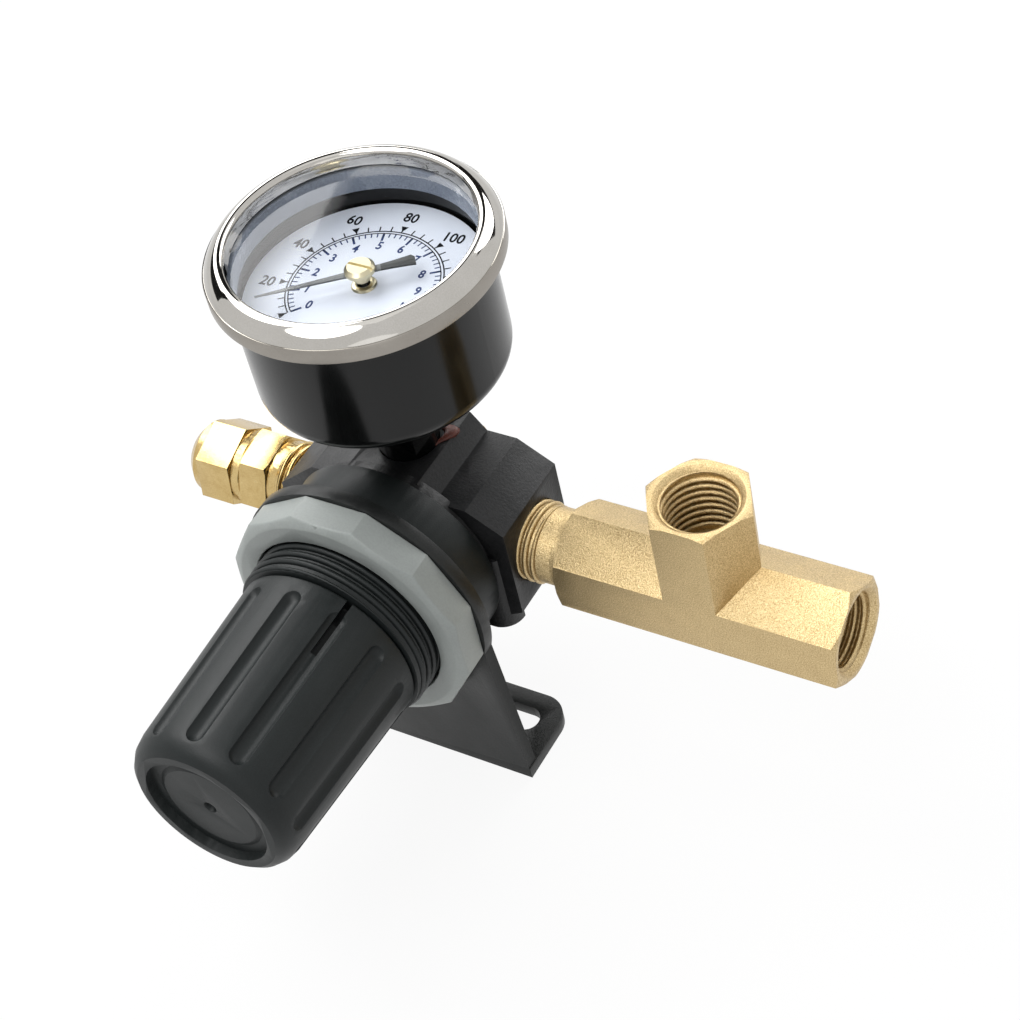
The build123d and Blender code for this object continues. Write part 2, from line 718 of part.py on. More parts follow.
def compression_sleeve():
    start = -fitting_nose_end - seat_gap
    middle = start - sleeve_length / 2
    inner = tube_radius + slide_gap
    return port_turned([
        (inner, start - sleeve_length), (inner + 0.15, start - sleeve_length), (sleeve_radius, middle - 0.3),
        (sleeve_radius, middle + 0.3), (inner + 0.3, start), (inner, start)])


def gauge_port_plug():
    top = -gauge_boss_top
    radius = gauge_bore_radius - thread_gap
    shape = gauge_turned([
        (0, top), (radius, top), (radius, top + plug_length - 0.6), (radius - 0.6, top + plug_length),
        (0, top + plug_length)])
    socket = RegularPolygon(plug_socket_across_flats / 2, 6, major_radius=False)
    return shape - extrude(Pos(0, 0, top) * socket, plug_socket_depth)


def gauge_case():
    shape = gauge_cylinder(case_radius, case_bottom, case_top)
    shape = fillet(shape.edges().group_by(Axis.Z)[0], case_round)
    hollow = gauge_cylinder(case_radius - case_wall, case_bottom + case_wall, case_top)
    hollow = fillet(hollow.edges().group_by(Axis.Z)[0], case_round - case_wall)
    return shape - hollow - gauge_cylinder(stem_hole_radius, case_bottom, case_top)


def gauge_bezel():
    """Thin rolled ring: straight side, round crown, and a lip turned in over the window."""
    inner = case_radius + thread_gap
    lens_top = lens_seat + lens_thickness + seat_gap
    side_top = bezel_bottom + bezel_straight
    crown_top = side_top + bezel_crown_height
    side = Polyline(
        (inner, bezel_bottom), (bezel_radius - 0.4, bezel_bottom), (bezel_radius, bezel_bottom + 0.4),
        (bezel_radius, side_top))
    crown = SagittaArc(side @ 1, (bezel_crown_radius, crown_top), -bezel_crown_bulge)
    roll = SagittaArc(crown @ 1, (bezel_lip_radius, crown_top - bezel_lip_drop), -bezel_lip_bulge)
    inside = Polyline(roll @ 1, (bezel_lip_radius, lens_top), (inner, lens_top), (inner, bezel_bottom))
    return revolve(Plane.XZ * make_face(side + crown + roll + inside), Axis.Z)


def lens_gasket():
    return gauge_turned([
        (gasket_inner_radius, case_top), (case_radius, case_top), (case_radius, lens_seat),
        (gasket_inner_radius, lens_seat)])


def gauge_lens():
    bottom = lens_seat + seat_gap / 2
    return gauge_cylinder(lens_radius, bottom, bottom + lens_thickness)


def gauge_dial():
    return gauge_turned([
        (dial_hole_radius, dial_height - dial_thickness), (dial_radius, dial_height - dial_thickness),
        (dial_radius, dial_height), (dial_hole_radius, dial_height)])


def gauge_stem():
    """Brass stem block: thread, wrench square, post through the case and the arm that holds the tube."""
    square = Pos(0, 0, (stem_square_bottom + case_bottom) / 2 - seat_gap / 2)
    shape = square * Box(stem_square, stem_square, case_bottom - stem_square_bottom - seat_gap)
    shape += gauge_turned([
        (0, stem_thread_end), (stem_thread_radius - 0.6, stem_thread_end),
        (stem_thread_radius, stem_thread_end + 1),
        (stem_thread_radius, stem_square_bottom), (0, stem_square_bottom)])
    shape += gauge_cylinder(socket_post_radius, case_bottom - 1, socket_arm_top)
    reach = tube_mean_radius + tube_section_width / 2 + socket_arm_edge
    arm_bottom = case_floor + seat_gap
    arm_height = socket_arm_top - arm_bottom
    arm = Pos(0, -reach / 2, arm_bottom + arm_height / 2)
    shape += arm * Box(socket_arm_width, reach, arm_height)
    shape -= gauge_cylinder(stem_bore_radius, stem_thread_end, tube_middle_height)
    return shape - bourdon_tube_blank(thread_gap)


def tube_section(extra=0.0):
    width = tube_section_width + 2 * extra
    height = tube_section_height + 2 * extra
    oval = RectangleRounded(width, height, width * 0.45)
    return Plane.XZ * (Pos(tube_mean_radius, tube_middle_height) * oval)


def bourdon_tube_blank(extra=0.0):
    start = Rot(0, 0, tube_start_angle) * tube_section(extra)
    return revolve(start, Axis.Z, revolution_arc=tube_sweep)


def bourdon_tube():
    return bourdon_tube_blank()


def tip_angle():
    return tube_start_angle + tube_sweep


def tube_tip():
    """Cap on the free end of the tube, with the lug that the link hangs on."""
    block = Pos(tube_mean_radius, 1.2, tube_middle_height) * Box(3.4, 2.3, tube_section_height + 1)
    block_top = tube_middle_height + tube_section_height / 2
    lug = post(tip_lug_radius, tube_mean_radius, 1.2, block_top, tip_lug_top)
    return Rot(0, 0, tip_angle()) * (block + lug)


def sector_distance():
    return gear_module * (pinion_teeth + sector_teeth_full) / 2


def sector_pivot():
    angle = math.radians(sector_pivot_angle)
    return sector_distance() * math.cos(angle), sector_distance() * math.sin(angle)


def sector_turn():
    """Turn of the sector at rest from the middle of its swing."""
    ratio = sector_teeth_full / pinion_teeth
    return (scale_reading - scale_sweep / 2) / ratio


def strap(length, angle):
    """Flat bar from the pinion shaft outwards."""
    return Rot(0, 0, angle) * Pos(length / 2, 0, 0) * SlotCenterToCenter(length, 2 * strap_half_width)


def movement_plate(bottom):
    """Three-armed plate that carries the pinion shaft and the sector arbor."""
    section = strap(sector_distance(), sector_pivot_angle)
    for angle in pillar_angles:
        section += strap(pillar_distance, angle)
    shape = extrude(Pos(0, 0, bottom) * section, movement_plate_thickness)
    pivot_x, pivot_y = sector_pivot()
    shape -= post(arbor_radius + slide_gap, 0, 0, bottom - 1, bottom + 2)
    return shape - post(arbor_radius + slide_gap, pivot_x, pivot_y, bottom - 1, bottom + 2)


def movement_back_plate():
    return movement_plate(back_plate_bottom)


def movement_front_plate():
    return movement_plate(front_plate_bottom)


def posts(radius, bottom, top):
    """A post on each pillar place of the movement plates."""
    solids = []
    for angle in pillar_angles:
        x = pillar_distance * math.cos(math.radians(angle))
        y = pillar_distance * math.sin(math.radians(angle))
        solids.append(post(radius, x, y, bottom, top))
    return Compound(solids)


def movement_pillars():
    return posts(pillar_radius, back_plate_bottom + movement_plate_thickness, front_plate_bottom)


def dial_posts():
    return posts(pillar_radius, front_plate_bottom + movement_plate_thickness, dial_height - dial_thickness)


def tooth(root):
    """Flank outline of one gear tooth, narrower than half the pitch so that the pair runs free."""
    tip = root + gear_module * 1.9
    half_root = gear_module * 0.6
    half_tip = gear_module * 0.25
    return make_face(Polyline(
        (root - 0.3, -half_root), (tip, -half_tip), (tip, half_tip), (root - 0.3, half_root), close=True))


def pinion_shaft_top():
    return pointer_height - hub_neck_radius / 2


def pinion_shaft():
    root = gear_module * (pinion_teeth / 2 - 1.1)
    section = Circle(root)
    for index in range(pinion_teeth):
        turn = sector_pivot_angle + (index + 0.5) * 360 / pinion_teeth
        section += Rot(0, 0, turn) * tooth(root)
    shape = extrude(Pos(0, 0, pinion_bottom) * section, pinion_top - pinion_bottom)
    return shape + post(arbor_radius, 0, 0, back_plate_bottom + plate_seat_gap, pinion_shaft_top())


def sector_gear():
    root = gear_module * (sector_teeth_full / 2 - 1.1)
    pitch_angle = 360 / sector_teeth_full
    ratio = sector_teeth_full / pinion_teeth
    first = -math.ceil((scale_sweep - scale_reading) / ratio / pitch_angle) - 1
    last = math.ceil(scale_reading / ratio / pitch_angle) + 1
    start = math.radians((first - 0.5) * pitch_angle)
    end = math.radians((last + 0.5) * pitch_angle)
    middle = (start + end) / 2
    reach = root * 1.5
    wedge = make_face(Polyline(
        (0, 0), (reach * math.cos(start), reach * math.sin(start)),
        (reach * math.cos(middle), reach * math.sin(middle)),
        (reach * math.cos(end), reach * math.sin(end)), close=True))
    section = (Circle(root) - Circle(root - sector_rim)) & wedge
    web = Pos(root / 2 - sector_rim / 2, 0, 0) * Rectangle(root - sector_rim / 2, sector_web)
    section += Rot(0, 0, math.degrees(middle)) * web + Circle(sector_web * 0.8)
    for index in range(first, last + 1):
        section += Rot(0, 0, index * pitch_angle) * tooth(root)
    teeth = Rot(0, 0, sector_pivot_angle + 180) * section
    tail = Rot(0, 0, sector_pivot_angle - 90 + sector_turn())
    lever = tail * Pos(sector_tail / 2, 0, 0) * SlotCenterToCenter(sector_tail, 1.8)
    plate = extrude(Pos(0, 0, sector_bottom) * (teeth + lever), sector_thickness)
    hole = Pos(0, 0, sector_bottom) * tail * Pos(sector_tail, 0, 0) * Circle(0.45)
    plate -= extrude(hole, sector_thickness)
    arbor_top = front_plate_bottom + movement_plate_thickness - plate_seat_gap
    arbor = post(arbor_radius, 0, 0, back_plate_bottom + plate_seat_gap, arbor_top)
    pivot_x, pivot_y = sector_pivot()
    return Pos(pivot_x, pivot_y, 0) * (plate + arbor)


def sector_link():
    """Bar that hangs on the lug of the tube tip and reaches over the tail of the sector."""
    lug = Rot(0, 0, tip_angle()) * Pos(tube_mean_radius, 1.2, 0)
    pivot_x, pivot_y = sector_pivot()
    tail = Rot(0, 0, sector_pivot_angle - 90 + sector_turn()) * Pos(sector_tail, 0, 0)
    tail = Pos(pivot_x, pivot_y, 0) * tail
    start = lug.position
    end = tail.position
    direction = end - start
    middle = (start + end) / 2
    turn = math.degrees(math.atan2(direction.Y, direction.X))
    bar = Rot(0, 0, turn) * SlotCenterToCenter(direction.length, link_width)
    shape = extrude(Pos(middle.X, middle.Y, link_bottom) * bar, link_thickness)
    return shape - post(tip_lug_radius + thread_gap, start.X, start.Y, link_bottom - 1, link_bottom + 1)


def hairspring():
    """Flat spiral from the pinion shaft out to a stud on the back plate."""
    inner = arbor_radius + thread_gap
    collet = Circle(inner + 0.5) - Circle(inner)
    start = inner + 0.5 - hairspring_thickness / 2
    path = Polyline((start, 0), (start + 0.05, 0))
    centre = 0.0
    radius = start + 0.05
    section = collet
    for half in range(2 * hairspring_turns):
        upper = half % 2 == 0
        arc = Circle(radius + hairspring_thickness / 2) - Circle(radius - hairspring_thickness / 2)
        side = 1 if upper else -1
        keep = Pos(0, side * 2 * radius, 0) * Rectangle(8 * radius, 4 * radius)
        section += Pos(centre, 0, 0) * (arc & keep)
        step = hairspring_pitch / 4
        centre += -step if upper else step
        radius += step
    shape = extrude(Pos(0, 0, hairspring_bottom) * section, hairspring_height)
    stud_x = centre + radius
    stud = post(
        hairspring_stud_radius, stud_x, 0, back_plate_bottom + movement_plate_thickness,
        hairspring_bottom + hairspring_height)
    return shape + stud


def gauge_pointer():
    needle = Polyline(
        (-pointer_tail, -1.5), (-pointer_tail + 0.8, -1.9), (-1.6, -0.9), (pointer_length * 0.8, -0.45),
        (pointer_length, 0), (pointer_length * 0.8, 0.45), (-1.6, 0.9), (-pointer_tail + 0.8, 1.9),
        (-pointer_tail, 1.5), close=True)
    blade = make_face(needle) + Circle(hub_radius + 0.3)
    blade -= Circle(hub_neck_radius + thread_gap)
    shape = extrude(Pos(0, 0, pointer_height) * blade, pointer_thickness)
    return Rot(0, 0, pointer_rest_angle) * shape


def pointer_hub():
    """Brass hub pressed on the pinion shaft, a collar below the pointer and a slotted head above it."""
    shaft_top = pinion_shaft_top() + thread_gap
    bore = arbor_radius + thread_gap
    collar_bottom = pointer_height - pointer_lift * 0.45
    collar_top = pointer_height - seat_gap
    head_bottom = pointer_height + pointer_thickness + seat_gap
    head_top = pointer_height + pointer_thickness + hub_height
    shape = gauge_turned([
        (0, shaft_top), (bore, shaft_top), (bore, collar_bottom), (hub_collar_radius, collar_bottom),
        (hub_collar_radius, collar_top), (hub_neck_radius, collar_top), (hub_neck_radius, head_bottom),
        (hub_radius, head_bottom), (hub_radius, head_top - 0.5), (hub_radius - 0.5, head_top), (0, head_top)])
    return shape - Pos(0, 0, head_top) * Box(2 * hub_radius, 0.5, 0.9)


pieces = {
    "body": body,
    "bonnet": bonnet,
    "panel_nut": panel_nut,
    "mounting_bracket": mounting_bracket,
    "adjusting_knob": adjusting_knob,
    "adjusting_screw": adjusting_screw,
    "thrust_washer": thrust_washer,
    "retaining_ring": retaining_ring,
    "spring_nut": spring_nut,
    "regulating_spring": regulating_spring,
    "diaphragm": diaphragm,
    "diaphragm_plate": diaphragm_plate,
    "relief_seat": relief_seat,
    "valve_seat": valve_seat,
    "valve_poppet": valve_poppet,
    "poppet_seal": poppet_seal,
    "valve_spring": valve_spring,
    "valve_cap": valve_cap,
    "valve_cap_o_ring": valve_cap_o_ring,
    "gauge_port_plug": gauge_port_plug,
    "outlet_tee": outlet_tee,
    "inlet_fitting": inlet_fitting,
    "compression_nut": compression_nut,
    "compression_sleeve": compression_sleeve,
    "gauge_case": gauge_case,
    "gauge_bezel": gauge_bezel,
    "lens_gasket": lens_gasket,
    "gauge_lens": gauge_lens,
    "gauge_dial": gauge_dial,
    "dial_posts": dial_posts,
    "gauge_stem": gauge_stem,
    "bourdon_tube": bourdon_tube,
    "tube_tip": tube_tip,
    "movement_back_plate": movement_back_plate,
    "movement_front_plate": movement_front_plate,
    "movement_pillars": movement_pillars,
    "pinion_shaft": pinion_shaft,
    "sector_gear": sector_gear,
    "sector_link": sector_link,
    "hairspring": hairspring,
    "gauge_pointer": gauge_pointer,
    "pointer_hub": pointer_hub,
}

on_inlet_axis = ("inlet_fitting", "compression_nut", "compression_sleeve")

os.makedirs("parts", exist_ok=True)
for name, make in pieces.items():
    drop = inlet_drop if name in on_inlet_axis else 0
    export_step(at_ports * Pos(0, 0, -drop) * make(), f"parts/{name}.step")
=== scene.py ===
# %% [markdown]
# # Inline air pressure regulator
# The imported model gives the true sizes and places. This script dresses it: it makes the fine round
# forms, the threads, the print on the dial and the finishes, and sets up the studio. Blender works
# in metres, and the object's sizes are easier to read in millimetres, so most numbers below are
# millimetres and are scaled as they are used.

import json
import math

import bmesh
import bpy
from mathutils import Matrix, Vector

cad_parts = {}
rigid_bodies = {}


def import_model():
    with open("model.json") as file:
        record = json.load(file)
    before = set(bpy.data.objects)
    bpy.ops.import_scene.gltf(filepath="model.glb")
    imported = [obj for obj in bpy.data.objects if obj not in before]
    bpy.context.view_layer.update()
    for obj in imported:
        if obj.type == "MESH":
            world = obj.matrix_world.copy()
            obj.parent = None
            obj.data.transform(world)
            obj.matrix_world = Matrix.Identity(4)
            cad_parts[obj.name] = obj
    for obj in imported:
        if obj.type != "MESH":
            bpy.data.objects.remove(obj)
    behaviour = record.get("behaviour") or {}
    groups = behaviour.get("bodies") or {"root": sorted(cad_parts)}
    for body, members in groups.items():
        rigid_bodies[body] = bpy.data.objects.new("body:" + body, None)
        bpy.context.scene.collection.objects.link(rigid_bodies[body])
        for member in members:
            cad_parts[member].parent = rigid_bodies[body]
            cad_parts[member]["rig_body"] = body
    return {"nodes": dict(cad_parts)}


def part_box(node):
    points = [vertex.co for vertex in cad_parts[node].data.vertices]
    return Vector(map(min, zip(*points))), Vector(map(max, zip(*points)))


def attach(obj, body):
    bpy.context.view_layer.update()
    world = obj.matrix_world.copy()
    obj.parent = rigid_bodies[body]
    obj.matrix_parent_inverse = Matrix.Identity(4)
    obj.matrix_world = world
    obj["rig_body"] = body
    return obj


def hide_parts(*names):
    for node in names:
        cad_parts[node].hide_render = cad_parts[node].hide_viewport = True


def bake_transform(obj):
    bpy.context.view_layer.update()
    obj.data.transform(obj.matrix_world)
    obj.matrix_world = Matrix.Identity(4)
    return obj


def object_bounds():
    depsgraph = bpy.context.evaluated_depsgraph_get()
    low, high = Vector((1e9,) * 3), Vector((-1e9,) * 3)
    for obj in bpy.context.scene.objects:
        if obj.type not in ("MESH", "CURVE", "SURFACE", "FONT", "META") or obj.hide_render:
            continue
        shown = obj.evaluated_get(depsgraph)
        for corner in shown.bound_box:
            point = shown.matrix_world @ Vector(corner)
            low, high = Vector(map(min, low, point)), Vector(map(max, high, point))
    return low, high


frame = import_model()
cad_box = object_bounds()
nodes = frame["nodes"]
MM = 0.001
AXES = Vector((0.0, 10.5, 35.5))  # where the axes of the outlet, the knob and the gauge cross
print("box in mm:", [[round(v * 1000, 1) for v in corner] for corner in cad_box])

# %% [markdown]
# ## Camera
# The regulator was seen from above its right front corner with a long lens. The camera is placed by
# its own three axes, because a rotation written as a matrix needs no order of turns.

# %% Camera
lens_data = bpy.data.cameras.new("camera")
lens_data.sensor_width = 36.0
lens_data.lens = 85.21
lens_data.clip_start = 0.01
lens_data.clip_end = 10.0
camera = bpy.data.objects.new("camera", lens_data)
bpy.context.scene.collection.objects.link(camera)
right = Vector((0.85826688, 0.48246541, -0.17494309))
down = Vector((0.24731393, -0.68751956, -0.68275374))
ahead = Vector((-0.44968186, 0.54271906, -0.70939569))
turn = Matrix((right, -down, -ahead)).transposed().to_4x4()
place = (Vector((182.768, -201.271, 268.283)) + AXES) * MM
camera.matrix_world = Matrix.Translation(place) @ turn
bpy.context.scene.camera = camera
print("camera stands", round((place - AXES * MM).length * 1000), "mm from the gauge axis")

# %% [markdown]
# ## Node helpers
# A material or a geometry tree is a handful of nodes joined by links. Three short helpers keep that
# readable: one adds a node with its values, one adds a socket to a group, and one turns screen
# colours into the linear light that a shader reckons with.

# %% Node helpers


def linear(r, g, b):
    """Colour written 0 to 255 as on a screen, as linear light."""
    def one(v):
        v /= 255.0
        return v / 12.92 if v <= 0.04045 else ((v + 0.055) / 1.055) ** 2.4
    return (one(r), one(g), one(b), 1.0)


def add(tree, kind, values=None, **settings):
    """New node in a tree; values go to its sockets and settings to the node itself."""
    node = tree.nodes.new(kind)
    for key, value in settings.items():
        setattr(node, key, value)
    for key, value in (values or {}).items():
        node.inputs[key].default_value = value
    return node


def socket(tree, name, kind, value=None, way="INPUT"):
    """New socket of a node group, with its first value if it takes one."""
    made = tree.interface.new_socket(name=name, in_out=way, socket_type=kind)
    if value is not None:
        made.default_value = value


print("mid grey on a screen is", round(linear(128, 128, 128)[0], 3), "in linear light")

# %% [markdown]
# ## Studio
# A catalogue photograph is taken in a white tent. The world is white to the camera and to
# reflections, and a little dimmer as a light, so that the lamps can still shape the forms. The kind
# of ray tells the two apart. The floor uses the same test, so it is a helper.

# %% Tent


def bright_rays(tree):
    """Socket that is 1 for rays from the camera, through glass and off gloss, else 0."""
    rays = add(tree, "ShaderNodeLightPath")
    either = add(tree, "ShaderNodeMath", operation="MAXIMUM")
    any_of = add(tree, "ShaderNodeMath", operation="MAXIMUM")
    tree.links.new(rays.outputs["Is Camera Ray"], either.inputs[0])
    tree.links.new(rays.outputs["Is Transmission Ray"], either.inputs[1])
    tree.links.new(either.outputs[0], any_of.inputs[0])
    tree.links.new(rays.outputs["Is Glossy Ray"], any_of.inputs[1])
    return any_of.outputs[0]


scene = bpy.context.scene
scene.view_settings.view_transform = "Standard"
world = bpy.data.worlds.new("tent")
world.use_nodes = True
scene.world = world
w = world.node_tree
w.nodes.clear()
spot = add(w, "ShaderNodeTexCoord")
parts = add(w, "ShaderNodeSeparateXYZ")
w.links.new(spot.outputs["Generated"], parts.inputs[0])
sky = add(w, "ShaderNodeValToRGB")
low_sky, high_sky = sky.color_ramp.elements
low_sky.position, high_sky.position = 0.30, 0.95
low_sky.color = (0.30, 0.30, 0.31, 1)
high_sky.color = (0.95, 0.96, 0.98, 1)
w.links.new(parts.outputs["Z"], sky.inputs[0])
tent = add(w, "ShaderNodeBackground", {"Strength": 0.5})
w.links.new(sky.outputs["Color"], tent.inputs["Color"])
white = add(w, "ShaderNodeBackground", {"Color": (1, 1, 1, 1), "Strength": 1.0})
pick = add(w, "ShaderNodeMixShader")
w.links.new(bright_rays(w), pick.inputs["Fac"])
w.links.new(tent.outputs[0], pick.inputs[1])
w.links.new(white.outputs[0], pick.inputs[2])
out = add(w, "ShaderNodeOutputWorld")
w.links.new(pick.outputs[0], out.inputs["Surface"])
print("tent has", len(w.nodes), "nodes")

# %% [markdown]
# ## Lamps
# A large round lamp gives a soft edge to a shadow. The strongest stands high on the left, like a
# window; the others lift the front and draw a thin light along the back edges.

# %% Lamps
AIM = (10, 0, 35)


def lamp(name, place_mm, size_mm, watts):
    """Round area lamp that looks at the middle of the object."""
    data = bpy.data.lights.new(name, "AREA")
    data.shape = "DISK"
    data.size = size_mm * MM
    data.energy = watts
    obj = bpy.data.objects.new(name, data)
    scene.collection.objects.link(obj)
    start = Vector(place_mm) * MM
    way = (Vector(AIM) * MM - start).to_track_quat("-Z", "Y")
    obj.matrix_world = Matrix.Translation(start) @ way.to_matrix().to_4x4()
    print(" ", name, watts, "W")


lamp("window", (-330, 60, 520), 420, 2.4)
lamp("front_lamp", (-60, -240, 520), 340, 1.2)
lamp("right_fill", (300, -380, 200), 300, 0.1)
lamp("back_rim", (60, 420, 320), 300, 1.2)

# %% [markdown]
# ## Cards for the shiny pieces
# Chrome and glass show what stands round them, so a photographer sets bright and dark cards beside
# the object. These are seen by reflections only. The bright card lays a soft veil over the left of
# the gauge window and ends in a line across it, and the dark cards give the bezel its black bands.

# %% Cards


def card(name, middle_mm, along, across, size_mm, light):
    """Flat card that only reflections see; light is its brightness, near 0 for black."""
    along = Vector(along).normalized() * size_mm[0] * MM / 2
    across = Vector(across).normalized() * size_mm[1] * MM / 2
    middle = Vector(middle_mm) * MM
    mesh = bpy.data.meshes.new(name)
    corners = [middle + along * a + across * b for a, b in ((-1, -1), (1, -1), (1, 1), (-1, 1))]
    mesh.from_pydata([tuple(c) for c in corners], [], [(0, 1, 2, 3)])
    look = bpy.data.materials.new(name)
    look.use_nodes = True
    tree = look.node_tree
    tree.nodes.clear()
    glow = add(tree, "ShaderNodeEmission", {"Color": (1, 1, 1, 1), "Strength": light})
    end = add(tree, "ShaderNodeOutputMaterial")
    tree.links.new(glow.outputs[0], end.inputs["Surface"])
    mesh.materials.append(look)
    obj = bpy.data.objects.new(name, mesh)
    scene.collection.objects.link(obj)
    obj.visible_camera = False
    obj.visible_diffuse = False
    obj.visible_transmission = False
    obj.visible_shadow = False
    print(" ", name, size_mm, "mm")


VEIL = Vector((-0.63, -0.28, -0.72))  # from the veil's edge into the bright card
EDGE = Vector((0.0, -0.93, 0.36))  # along that edge
EDGE_MIDDLE = Vector((-333, 345, 461))
BLACK = 0.02
card("veil_card", EDGE_MIDDLE + VEIL * 150, VEIL, EDGE, (300, 500), 4.8)
card("dark_card", EDGE_MIDDLE - VEIL * 110, VEIL, EDGE, (210, 560), BLACK)
card("top_card", (0, 10, 760), (1, 0, 0), (0, 1, 0), (330, 330), 1.35)
card("dark_side_card", (-590, 150, 330), (0.25, 0.97, 0), (-0.45, 0.1, 0.9), (420, 420), BLACK)
card("dark_back_card", (10, 640, 400), (1, 0, 0), (0, -0.5, 0.87), (620, 420), BLACK)
card("dark_low_card", (-470, 520, 90), (0.77, 0.64, 0), (0, 0, 1), (300, 160), BLACK)

# %% [markdown]
# ## Floor
# The floor only has to catch a soft shadow. Seen directly or in a reflection it is nearly as white
# as the tent, and its own colour is pale, so light that bounces from it stays neutral.

# %% Floor
floor_mesh = bpy.data.meshes.new("floor")
SIDE = 3.0  # metres, so that its edge is never in view
level = cad_box[0][2] - 0.0002
floor_corners = [(-SIDE, -SIDE, level), (SIDE, -SIDE, level), (SIDE, SIDE, level), (-SIDE, SIDE, level)]
floor_mesh.from_pydata(floor_corners, [], [(0, 1, 2, 3)])
floor = bpy.data.objects.new("floor", floor_mesh)
scene.collection.objects.link(floor)
floor_look = bpy.data.materials.new("pale_floor")
floor_look.use_nodes = True
f = floor_look.node_tree
f.nodes.clear()
matt = add(f, "ShaderNodeBsdfDiffuse", {"Color": (0.9, 0.9, 0.9, 1)})
glow = add(f, "ShaderNodeEmission", {"Color": (1, 1, 1, 1), "Strength": 1.0})
part_glow = add(f, "ShaderNodeMath", {1: 0.92}, operation="MULTIPLY")
f.links.new(bright_rays(f), part_glow.inputs[0])
blend = add(f, "ShaderNodeMixShader")
f.links.new(part_glow.outputs[0], blend.inputs["Fac"])
f.links.new(matt.outputs[0], blend.inputs[1])
f.links.new(glow.outputs[0], blend.inputs[2])
f_out = add(f, "ShaderNodeOutputMaterial")
f.links.new(blend.outputs[0], f_out.inputs["Surface"])
floor_mesh.materials.append(floor_look)
print("floor lies at", round(level * 1000, 2), "mm")

# %% [markdown]
# ## A shared surface effect
# No made surface is even. One node group gives every finish its small unevenness: a slow cloud for
# handling and dirt, and a fine grain for casting or moulding, which also serves as the height of
# the bump. Each material sets its own sizes.

# %% Shader node group: uneven surface
uneven = bpy.data.node_groups.new("uneven_surface", "ShaderNodeTree")
socket(uneven, "Cloud Size", "NodeSocketFloat", 4.0)
socket(uneven, "Grain Size", "NodeSocketFloat", 0.2)
socket(uneven, "Cloud", "NodeSocketFloat", way="OUTPUT")
socket(uneven, "Grain", "NodeSocketFloat", way="OUTPUT")
u_in = add(uneven, "NodeGroupInput")
u_out = add(uneven, "NodeGroupOutput")
u_at = add(uneven, "ShaderNodeTexCoord")
for title, detail in (("Cloud", 4.0), ("Grain", 2.0)):
    scale = add(uneven, "ShaderNodeMath", {0: 1000.0}, operation="DIVIDE")
    uneven.links.new(u_in.outputs[title + " Size"], scale.inputs[1])
    noise = add(uneven, "ShaderNodeTexNoise", {"Detail": detail, "Roughness": 0.6})
    uneven.links.new(u_at.outputs["Object"], noise.inputs["Vector"])
    uneven.links.new(scale.outputs[0], noise.inputs["Scale"])
    uneven.links.new(noise.outputs["Fac"], u_out.inputs[title])
print("uneven_surface has", len(uneven.nodes), "nodes")

# %% [markdown]
# ## One maker for all finishes
# Every finish is a plain surface shader with two close colours. The shared group's cloud and grain
# choose between them, the cloud also moves the roughness, and the grain raises a bump. One function
# that takes those values is shorter than many trees drawn by hand.

# %% Finish


def finish(name, light, dark, rough, metal, cloud, grain, bump, shine, fade):
    """Material with two close colours, a roughness range and a grain; sizes are in millimetres."""
    look = bpy.data.materials.new(name)
    look.use_nodes = True
    t = look.node_tree
    t.nodes.clear()
    shader = add(t, "ShaderNodeBsdfPrincipled", {"Metallic": metal, "Specular IOR Level": shine})
    base = add(t, "ShaderNodeGroup", node_tree=uneven)
    base.inputs["Cloud Size"].default_value = cloud
    base.inputs["Grain Size"].default_value = grain
    mixed = add(t, "ShaderNodeMath", {1: fade, 2: 0.0}, operation="MULTIPLY_ADD")
    rest = add(t, "ShaderNodeMath", {1: 1.0 - fade}, operation="MULTIPLY")
    t.links.new(base.outputs["Cloud"], mixed.inputs[0])
    t.links.new(base.outputs["Grain"], rest.inputs[0])
    t.links.new(rest.outputs[0], mixed.inputs[2])
    ramp = add(t, "ShaderNodeValToRGB")
    low, high = ramp.color_ramp.elements
    low.position, high.position = 0.35, 0.65
    low.color, high.color = linear(*dark), linear(*light)
    t.links.new(mixed.outputs[0], ramp.inputs[0])
    t.links.new(ramp.outputs["Color"], shader.inputs["Base Color"])
    limits = {"From Min": 0.3, "From Max": 0.7, "To Min": rough[0], "To Max": rough[1]}
    spread = add(t, "ShaderNodeMapRange", limits)
    t.links.new(base.outputs["Cloud"], spread.inputs["Value"])
    t.links.new(spread.outputs[0], shader.inputs["Roughness"])
    relief = add(t, "ShaderNodeBump", {"Strength": min(bump * 10, 1.0), "Distance": 0.0001})
    t.links.new(base.outputs["Grain"], relief.inputs["Height"])
    t.links.new(relief.outputs[0], shader.inputs["Normal"])
    end = add(t, "ShaderNodeOutputMaterial")
    t.links.new(shader.outputs[0], end.inputs["Surface"])
    return look


print("one function makes every finish but the window's")

# %% [markdown]
# ## Finishes
# The body is a black coated casting, the knob a fine matt plastic, the nut a pale grey plastic. The
# tee is brass left sandy by tumbling, while the small compression fitting is bright turned brass.
# A table lets the finishes be compared at a glance: a high metal value gives coloured reflections,
# and a low roughness makes them sharp.

